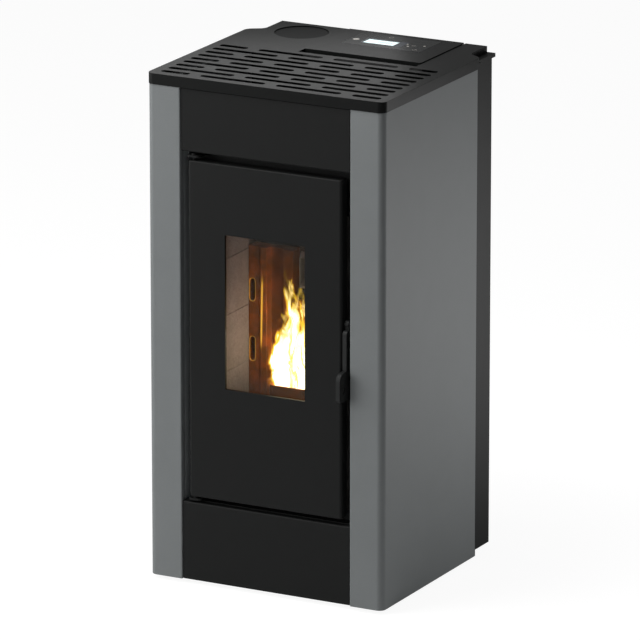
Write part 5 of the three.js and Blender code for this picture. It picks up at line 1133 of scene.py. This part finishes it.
class STOVE_OT_flue_cover(bpy.types.Operator):
    """Make the round plate over the spare flue hole"""

    bl_idname = "stove.flue_cover"
    bl_label = "Flue Cover"

    def execute(self, context):
        low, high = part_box("flue_cover_disc")
        x, y = (low.x + high.x) / 2, (low.y + high.y) / 2
        disc = cylinder((x, y, high.z - 0.001), 0.05, 0.002, vertices=96, name="flue_cover_plate")
        lip = cylinder((x, y, (low.z + high.z) / 2 - 0.0005), 0.0454, 0.008, vertices=96)
        carve(lip, cylinder((x, y, low.z), 0.0439, 0.012, vertices=96))
        unite(disc, lip)
        soften(disc, 0.0006, 2)
        finish_piece(disc, "flue_cover", "cover_paint", ["flue_cover_disc"], "disc_paint_with_painted_shade")
        return {"FINISHED"}


class STOVE_OT_hopper_lid(bpy.types.Operator):
    """Make the lifting hopper lid with its pocket for the controls"""

    bl_idname = "stove.hopper_lid"
    bl_label = "Hopper Lid"

    def execute(self, context):
        low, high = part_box("hopper_lid")
        plate = 0.002
        rear = FRONT + 0.4555
        lid = cuboid((low.x, low.y, low.z), (high.x, rear, high.z), "hopper_lid_shell")
        round_edges(lid, 0.003, 5, runs_along("Z"))
        carve(lid, cuboid(
            (low.x + SHEET, low.y + SHEET, low.z - PAST), (high.x - SHEET, rear + PAST, high.z - plate),
        ))
        add_lid_knuckle(lid, low, high, rear, plate)
        carve(lid, *control_cutters(low, high))
        soften(lid, context.scene.stove_sizes.edge_width * 1.6, 3)
        finish_piece(lid, "lid", "cover_paint", ["hopper_lid"])
        return {"FINISHED"}


def add_lid_knuckle(lid, low, high, rear, plate):
    """The long knuckle at the lid's rear edge, bored for the hinge pin."""
    left, right = low.x + 0.0273, high.x - 0.0273
    y, z = high.y - KNUCKLE_RADIUS, high.z - KNUCKLE_RADIUS
    leaf = cuboid((left, rear - 0.001, high.z - plate), (right, y, high.z - 0.0002))
    unite(lid, leaf, cylinder(((left + right) / 2, y, z), KNUCKLE_RADIUS, right - left, "X", 32))
    carve(lid, cylinder(((low.x + high.x) / 2, y, z), PIN_BORE, high.x - low.x + 2 * PAST, "X", 24))


def control_cutters(low, high):
    """Cutters for the pocket of the control panel, and for its display under it."""
    fascia_low, fascia_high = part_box("control_fascia")
    bottom = fascia_low.z - CLEARANCE
    pocket = inset_block(fascia_low, fascia_high, -CLEARANCE, bottom, high.z + PAST)
    round_edges(pocket, 0.004, 6, runs_along("Z"))
    return pocket, inset_block(*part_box("display_lcd"), -0.001, low.z, high.z + PAST)


PRINT = 0.0001  # thickness of a printed mark


class STOVE_OT_controls(bpy.types.Operator):
    """Make the dark control panel with its display and touch marks"""

    bl_idname = "stove.controls"
    bl_label = "Control Panel"

    def execute(self, context):
        low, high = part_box("control_fascia")
        lcd_low, lcd_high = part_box("display_lcd")
        lip = 0.003
        fascia = cuboid(low, high, "control_glass")
        round_edges(fascia, 0.004, 6, runs_along("Z"))
        carve(fascia, inset_block(lcd_low, lcd_high, lip - CLEARANCE, low.z - PAST, high.z + PAST))
        soften(fascia, 0.0003, 2)
        finish_piece(fascia, "lid", "glossy_fascia", ["control_fascia"])
        screen = inset_block(lcd_low, lcd_high, lip, lcd_low.z, lcd_high.z, "display_screen")
        unite(screen, inset_block(lcd_low, lcd_high, 0, low.z - 0.0009, low.z - CLEARANCE))
        soften(screen, 0.0002, 1)
        finish_piece(screen, "lid", "lcd_glass", ["display_lcd"])
        finish_piece(touch_marks(high.z), "lid", "touch_mark")
        border = cuboid(
            (lcd_low.x - 0.002, lcd_low.y - 0.001, high.z - PRINT / 2),
            (lcd_high.x + 0.014, lcd_high.y + 0.003, high.z + PRINT / 2),
        )
        carve(border, inset_block(lcd_low, lcd_high, lip, high.z - PAST, high.z + PAST))
        finish_piece(border, "lid", "display_border")
        return {"FINISHED"}


def touch_marks(z):
    """Thin printed marks for the touch keys: an oval on the left, rings and dots on the right."""
    rings = ((0.096, 0.3945), (0.111, 0.368), (0.031, 0.432))
    dots = ((0.080, 0.4005), (0.088, 0.3865), (0.1145, 0.4005))
    outer, inner, dot = 0.0040, 0.0034, 0.0024
    oval = cylinder(at(-0.021, 0.3925, z), 0.0062, PRINT, vertices=40)
    marks = []
    for x, y in rings:
        ring = cylinder(at(x, y, z), outer, PRINT, vertices=40)
        marks.append(carve(ring, cylinder(at(x, y, z), inner, 0.01, vertices=40)))
    for x, y in dots:
        marks.append(cylinder(at(x, y, z), dot, PRINT, vertices=24))
    return gather(oval, *marks)


# ------------------------------------------------------------------------------------------
# Door


def rounded_tray(low, high, radius, name):
    """A block with its upright front edges rounded, and its top and bottom edges half as much."""
    upright = runs_along("Z")
    tray = cuboid(low, high, name)
    round_edges(tray, radius, 6, lambda a, b: upright(a, b) and a.y < low.y + 0.001)
    for z in (low.z, high.z):
        round_edges(tray, radius * 0.5, 4, rim_edge_at(z, high.y))
    return tray


def rim_edge_at(z, rear):
    """A test for the edges at one height, apart from those along the rear."""

    def test(a, b):
        return abs(a.z - z) < 1e-5 and abs(b.z - z) < 1e-5 and min(a.y, b.y) < rear - 1e-4

    return test


class STOVE_OT_door(bpy.types.Operator):
    """Make the door's folded skin with its framed window"""

    bl_idname = "stove.door"
    bl_label = "Door"

    def execute(self, context):
        sizes = context.scene.stove_sizes
        low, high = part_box("door_panel")
        skin = rounded_tray(low, high, sizes.door_bend_radius, "door_skin")
        wall = Vector((SHEET, SHEET, SHEET))
        hollow_high = Vector((high.x - SHEET, high.y + 0.01, high.z - SHEET))
        carve(skin, rounded_tray(low + wall, hollow_high, sizes.door_bend_radius - SHEET, "door_hollow"))
        window_low = Vector((-0.081, 0, 0.3796))
        window_high = Vector((0.081, 0, 0.6678))
        depth = 0.0057
        jamb = cuboid(
            (window_low.x - SHEET, low.y + SHEET * 0.6, window_low.z - SHEET),
            (window_high.x + SHEET, low.y + depth, window_high.z + SHEET),
        )
        unite(skin, jamb)
        hole = cuboid(
            (window_low.x, low.y - PAST, window_low.z), (window_high.x, low.y + 2 * PAST, window_high.z),
        )
        round_edges(hole, 0.002, 4, runs_along("Y"))
        carve(skin, hole)
        for z in (low.z, high.z):
            carve(skin, cylinder((-0.147, FRONT + 0.009, z), 0.0033, 0.01, vertices=24))
        soften(skin, 0.0004, 2)
        finish_piece(skin, "door", "black_paint", ["door_panel"])
        low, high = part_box("door_glass")
        glass = cuboid(low, high, "door_pane")
        round_edges(glass, 0.003, 4, runs_along("Y"))
        soften(glass, 0.0005, 2)
        finish_piece(glass, "door", "ceramic_glass", ["door_glass"])
        return {"FINISHED"}


def cross_edge_at(y, z):
    """A test for edges that run from left to right at one depth and height."""
    runs_across = runs_along("X")

    def test(a, b):
        return runs_across(a, b) and abs(a.y - y) < 0.001 and abs(a.z - z) < 0.001

    return test


class STOVE_OT_handle(bpy.types.Operator):
    """Make the door lever: a round head, a slim bar and a finger tab"""

    bl_idname = "stove.handle"
    bl_label = "Door Lever"

    def execute(self, context):
        low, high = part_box("door_handle")
        pivot_y, pivot_z = FRONT + 0.014, 0.532
        head_radius = 0.0068
        bar_front, bar_rear = FRONT, FRONT + 0.012
        middle = (low.x + high.x) / 2
        thickness = high.x - low.x
        bar_top = 0.521
        lever = cylinder((middle, pivot_y, pivot_z), head_radius, thickness, "X", 64, "door_lever")
        neck = cuboid((low.x, pivot_y - 0.005, bar_top - 0.014), (high.x, pivot_y + 0.005, pivot_z))
        bar = cuboid((low.x, bar_front, low.z), (high.x, bar_rear, bar_top))
        round_edges(bar, 0.007, 6, cross_edge_at(bar_front, bar_top))
        tab_top, tab_rear = 0.447, bar_rear - 0.002
        tab = cuboid((low.x, low.y, low.z), (high.x, tab_rear, tab_top))
        round_edges(tab, 0.015, 8, cross_edge_at(low.y, tab_top))
        round_edges(tab, 0.008, 6, cross_edge_at(low.y, low.z))
        nose_low, nose_high = 0.4892, 0.4962
        nose = cuboid((low.x, tab_rear, nose_low), (high.x, high.y, nose_high))
        across = runs_along("X")
        round_edges(nose, 0.002, 3, lambda a, b: across(a, b) and a.y > high.y - 0.001)
        unite(lever, neck, bar, tab, nose)
        dish = cylinder((high.x, (low.y + FRONT) / 2, low.z + 0.022), 0.007, 0.003, "X", 40)
        carve(lever, dish, cylinder((middle, pivot_y, pivot_z), 0.0033, thickness + 0.01, "X", 32))
        soften(lever, 0.0011, 3)
        finish_piece(lever, "handle", "black_paint", ["door_handle"], "lever_paint_with_painted_light")
        return {"FINISHED"}


# ------------------------------------------------------------------------------------------
# Outlets at the back


class STOVE_OT_outlets(bpy.types.Operator):
    """Make the flue collar and the air pipe"""

    bl_idname = "stove.outlets"
    bl_label = "Flue Collar and Air Pipe"

    def execute(self, context):
        for node, radius, flange in (("flue_collar", 0.04, 0.003), ("air_intake_pipe", 0.025, 0.002)):
            low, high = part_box(node)
            centre = ((low.x + high.x) / 2, (low.z + high.z) / 2)
            beads = (high.y - 0.012,)
            pipe = tube(node + "_rolled", centre, radius - 0.0001, low.y, high.y, SHEET, beads)
            ring = cylinder((centre[0], low.y + flange / 2, centre[1]), (high.x - low.x) / 2, flange, "Y", 72)
            carve(ring, cylinder((centre[0], low.y, centre[1]), radius - 0.001, 0.02, "Y", 72))
            pipe = gather(pipe, ring)
            soften(pipe, 0.0003, 1)
            finish_piece(pipe, "stove", NODE_SLOTS[node], [node])
        return {"FINISHED"}


# ------------------------------------------------------------------------------------------
# Fire


class STOVE_OT_fire(bpy.types.Operator):
    """Make the burning pellets and the flames above the burn pot"""

    bl_idname = "stove.fire"
    bl_label = "Fire"

    def execute(self, context):
        sizes = context.scene.stove_sizes
        finish_piece(burning_pellets(), "burn_pot", "ember")
        random.seed(7)
        sunk = 0.03
        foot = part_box("burn_pot")[1].z - sunk
        tongues = (
            (-0.018, 0.104, 0.078, 0.62, 10),
            (0.003, 0.112, 0.096, 0.90, -6),
            (0.018, 0.124, 0.080, 0.74, 14),
            (-0.010, 0.134, 0.092, 0.70, -14),
            (0.021, 0.100, 0.050, 0.5, -4),
        )
        for index, (x, y, width, height, turn) in enumerate(tongues):
            tall = sizes.flame_height * height + sunk
            tongue = flame_tongue(index, at(x, y, foot), width, tall, math.radians(turn))
            finish_piece(tongue, "burn_pot", "flame")
        return {"FINISHED"}


def flame_tongue(index, foot, width, height, turn):
    """A curved sheet that leans and waves as it rises."""
    deselect()
    bpy.ops.mesh.primitive_grid_add(x_subdivisions=10, y_subdivisions=26, size=1)
    sheet = bpy.context.object
    sheet.scale = (width, height, 1)
    sheet.rotation_euler = Euler((math.pi / 2, 0, turn))
    sheet.location = foot + Vector((0, 0, height / 2))
    settle(sheet, "flame_%d" % (index + 1))
    phase = random.uniform(0, math.tau)
    lean = random.uniform(-0.012, 0.016)
    for vertex in sheet.data.vertices:
        rise = (vertex.co.z - foot.z) / height
        reach = (vertex.co.x - foot.x) / width
        vertex.co.x = foot.x + width * reach * min(1.0, 0.6 + 1.6 * rise)
        vertex.co.x += lean * rise * rise + 0.006 * rise * math.sin(phase + 7 * rise)
        vertex.co.y += 0.010 * rise * math.cos(phase + 6 * rise) - 0.03 * reach * reach
    activate(sheet)
    bpy.ops.object.shade_smooth()
    return sheet


def burning_pellets():
    """A heap of short round pellets in the burn pot."""
    random.seed(3)
    low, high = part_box("burn_pot")
    centre = (low + high) / 2
    rim, wall, slack = 0.009, 0.004, 0.001
    first = cylinder((0, 0, 0), 0.003, 0.013, "X", 10)
    soften(first, 0.0005, 1)
    pellets = []
    for _ in range(90):
        x = random.uniform(-0.030, 0.030)
        y = random.uniform(-0.022, 0.022)
        crown = 0.014 * (1 - (x / 0.04) ** 2 - (y / 0.03) ** 2)
        z = random.uniform(-0.006, 0.0) + crown
        activate(first)
        bpy.ops.object.duplicate()
        twin = bpy.context.object
        twin.rotation_euler = Euler((0, random.uniform(-0.7, 0.7), random.uniform(0, math.tau)))
        twin.location = (centre.x + x, centre.y + y, high.z - 0.022 + z)
        pellets.append(settle(twin))
    bpy.data.objects.remove(first, do_unlink=True)
    bed = inset_block(low, high, rim + wall + slack, low.z + 0.02, high.z - 0.024)
    round_edges(bed, 0.009, 5, runs_along("Z"))
    heap = gather(bed, *pellets)
    heap.name = "burning_pellets"
    activate(heap)
    bpy.ops.object.shade_smooth_by_angle(angle=math.radians(38))
    return heap


# ------------------------------------------------------------------------------------------
# Finishes of the pieces that keep the frame's shape


ROUNDED_NODES = ("back_liner", "burn_pot")


def round_live(piece):
    """Rounds the edges of a frame piece with modifiers, which leave its mesh as it is."""
    weld = piece.modifiers.new("weld", "WELD")
    weld.merge_threshold = 0.00001
    bevel = piece.modifiers.new("bevel", "BEVEL")
    bevel.width = 0.0012
    bevel.segments = 3
    bevel.limit_method = "ANGLE"
    bevel.angle_limit = math.radians(40)


class STOVE_OT_inner_pieces(bpy.types.Operator):
    """Give every piece of the frame the finish of its material slot"""

    bl_idname = "stove.inner_pieces"
    bl_label = "Inner Pieces"

    def execute(self, context):
        for node, piece in frame["nodes"].items():
            if node in ROUNDED_NODES:
                round_live(piece)
            for slot in piece.material_slots:
                slot.material = FINISHES[NODE_LOOKS.get(node, NODE_SLOTS[node])]
        return {"FINISHED"}


class STOVE_OT_finishes(bpy.types.Operator):
    """Mix the paints, metals, boards and lights"""

    bl_idname = "stove.finishes"
    bl_label = "Finishes"

    def execute(self, context):
        colours = context.scene.stove_colours
        FINISHES.update(make_finishes(colours))
        FINISHES["frame_paint_with_painted_light"] = frame_paint_with_painted_light("frame_paint_with_painted_light", colours.black_paint, colours.grey_paint)
        # the back liner's iron, with painted highlights in the fire's colour
        FINISHES["iron_with_painted_glints"] = iron_with_painted_glints("iron_with_painted_glints", RUST, (1.0, 0.52, 0.05))
        # painted light: the lever's black paint, painted 1.9 times paler
        FINISHES["lever_paint_with_painted_light"] = powder_coat("lever_paint_with_painted_light", shade(colours.black_paint, 1.9), 0.5)
        # the flue cover's paint: rougher with less sheen, and painted a little darker as painted shade
        FINISHES["disc_paint_with_painted_shade"] = powder_coat("disc_paint_with_painted_shade", shade(colours.cover_paint, 0.9), 0.5, 0.05)
        FINISHES["touch_mark"] = moulded_plastic("touch_mark", (0.42, 0.40, 0.37), 0.5)
        FINISHES["display_border"] = moulded_plastic("display_border", (0.004, 0.009, 0.018), 0.4)
        FINISHES["flame"] = flame_light("flame", colours.flame, 6.0)
        FINISHES["ember"] = ember_light("ember")
        return {"FINISHED"}


# ------------------------------------------------------------------------------------------
# Stage


class STOVE_OT_stage(bpy.types.Operator):
    """Set the pale floor, the soft lights and the camera"""

    bl_idname = "stove.stage"
    bl_label = "Stage"

    def execute(self, context):
        deselect()
        bpy.ops.mesh.primitive_plane_add(size=60)
        floor = bpy.context.object
        floor.name = "floor"
        floor.data.materials.append(floor_finish())
        light_world(context.scene)
        soft_light("key_light", (-3.1, -2.2, 1.8), 3.4, 122)
        soft_light("side_light", (1.0, 0.95, 0.3), 0.6, 5)
        soft_light("top_light", (-0.4, -0.8, 2.6), 0.8, 26)
        strip = soft_light("grille_light", (-0.34, 0.30, 1.13), 0.6, 0.46, (0.02, -0.38, 1.09))
        strip.shape = "RECTANGLE"
        strip.size_y = 0.15
        fire_light()
        set_camera(context.scene)
        context.scene.view_settings.view_transform = "Standard"
        return {"FINISHED"}


def floor_finish():
    """A pale floor that the camera sees white, apart from the stove's soft shadow."""
    s = Shader("pale_floor")
    paint = s.node("BsdfDiffuse", None, {"Color": (0.86, 0.86, 0.86)})
    glow = s.node("Emission", None, {"Color": (1, 1, 1), "Strength": 1.15})
    seen = s.node("LightPath", None, None, "Is Camera Ray")
    s.close(s.node("MixShader", None, {0: seen * 0.8, 1: paint, 2: glow}))
    return s.material


def light_world(scene):
    """A white room: a dim even light on the stove, pure white to the camera and through glass."""
    levels = {"Is Camera Ray": 1.0, "Is Transmission Ray": 1.0, "Is Glossy Ray": 0.22}
    even_level = 0.17
    world = bpy.data.worlds.new("white_room")
    world.use_nodes = True
    tree = world.node_tree
    path = tree.nodes.new("ShaderNodeLightPath")
    shown = 0
    for ray, level in levels.items():
        scaled = tree.nodes.new("ShaderNodeMath")
        scaled.operation = "MULTIPLY"
        scaled.inputs[1].default_value = level
        tree.links.new(path.outputs[ray], scaled.inputs[0])
        largest = tree.nodes.new("ShaderNodeMath")
        largest.operation = "MAXIMUM"
        largest.inputs[1].default_value = even_level
        tree.links.new(scaled.outputs[0], largest.inputs[0])
        if shown:
            tree.links.new(shown, largest.inputs[1])
        shown = largest.outputs[0]
    tree.links.new(shown, tree.nodes["Background"].inputs["Strength"])
    tree.nodes["Background"].inputs["Color"].default_value = (1, 1, 1, 1)
    scene.world = world


def soft_light(name, place, size, power, target=(0, 0, 0.5)):
    """A large square lamp that faces the middle of the stove, or a target of its own."""
    lamp = bpy.data.lights.new(name, "AREA")
    lamp.size = size
    lamp.energy = power
    holder = bpy.data.objects.new(name, lamp)
    holder.location = place
    holder.visible_camera = False
    holder.rotation_euler = (Vector(target) - Vector(place)).to_track_quat("-Z", "Y").to_euler()
    bpy.context.scene.collection.objects.link(holder)
    return lamp


def fire_light():
    """The warm light that the fire throws on its chamber."""
    lamp = bpy.data.lights.new("fire_light", "POINT")
    lamp.energy = 0.38
    lamp.color = (1.0, 0.75, 0.62)
    lamp.shadow_soft_size = 0.03
    holder = bpy.data.objects.new("fire_light", lamp)
    holder.location = at(0.0, 0.12, 0.45)
    bpy.context.scene.collection.objects.link(holder)


def set_camera(scene):
    """The photograph's angle, with a long lens."""
    azimuth = math.radians(27.88)
    elevation = math.radians(15.92)
    distance = 13.0
    target = Vector((-0.0102, -0.0095, 0.4613))
    level = math.cos(elevation)
    back = Vector((math.sin(azimuth) * level, -math.cos(azimuth) * level, math.sin(elevation)))
    lens = bpy.data.cameras.new("photo_camera")
    lens.sensor_width = 36
    lens.lens = 401.5
    camera = bpy.data.objects.new("photo_camera", lens)
    camera.location = target + back * distance
    camera.rotation_euler = (-back).to_track_quat("-Z", "Y").to_euler()
    scene.collection.objects.link(camera)
    scene.camera = camera


# ------------------------------------------------------------------------------------------
# Panel and registration

OPERATORS = (
    STOVE_OT_finishes, STOVE_OT_inner_pieces, STOVE_OT_side_panels, STOVE_OT_front_panels,
    STOVE_OT_rear_panel, STOVE_OT_feet, STOVE_OT_top_cover, STOVE_OT_flue_cover, STOVE_OT_hopper_lid,
    STOVE_OT_controls, STOVE_OT_door, STOVE_OT_handle, STOVE_OT_outlets, STOVE_OT_fire, STOVE_OT_stage,
)


class VIEW3D_PT_pellet_stove(bpy.types.Panel):
    """Lists the stove's sizes, colours and pieces"""

    bl_label = "Pellet Stove"
    bl_idname = "VIEW3D_PT_pellet_stove"
    bl_space_type = "VIEW_3D"
    bl_region_type = "UI"
    bl_category = "Stove"

    def draw(self, context):
        column = self.layout.column()
        for group in (context.scene.stove_sizes, context.scene.stove_colours):
            for name in group.__annotations__:
                column.prop(group, name)
        for operator in OPERATORS:
            column.operator(operator.bl_idname)


CLASSES = (StoveSizes, StoveColours, *OPERATORS, VIEW3D_PT_pellet_stove)


def register():
    for each in CLASSES:
        bpy.utils.register_class(each)
    bpy.types.Scene.stove_sizes = PointerProperty(type=StoveSizes)
    bpy.types.Scene.stove_colours = PointerProperty(type=StoveColours)


def unregister():
    del bpy.types.Scene.stove_colours
    del bpy.types.Scene.stove_sizes
    for each in reversed(CLASSES):
        bpy.utils.unregister_class(each)


def main():
    register()
    for operator in OPERATORS:
        group, name = operator.bl_idname.split(".")
        getattr(getattr(bpy.ops, group), name)()


if __name__ == "__main__":
    main()
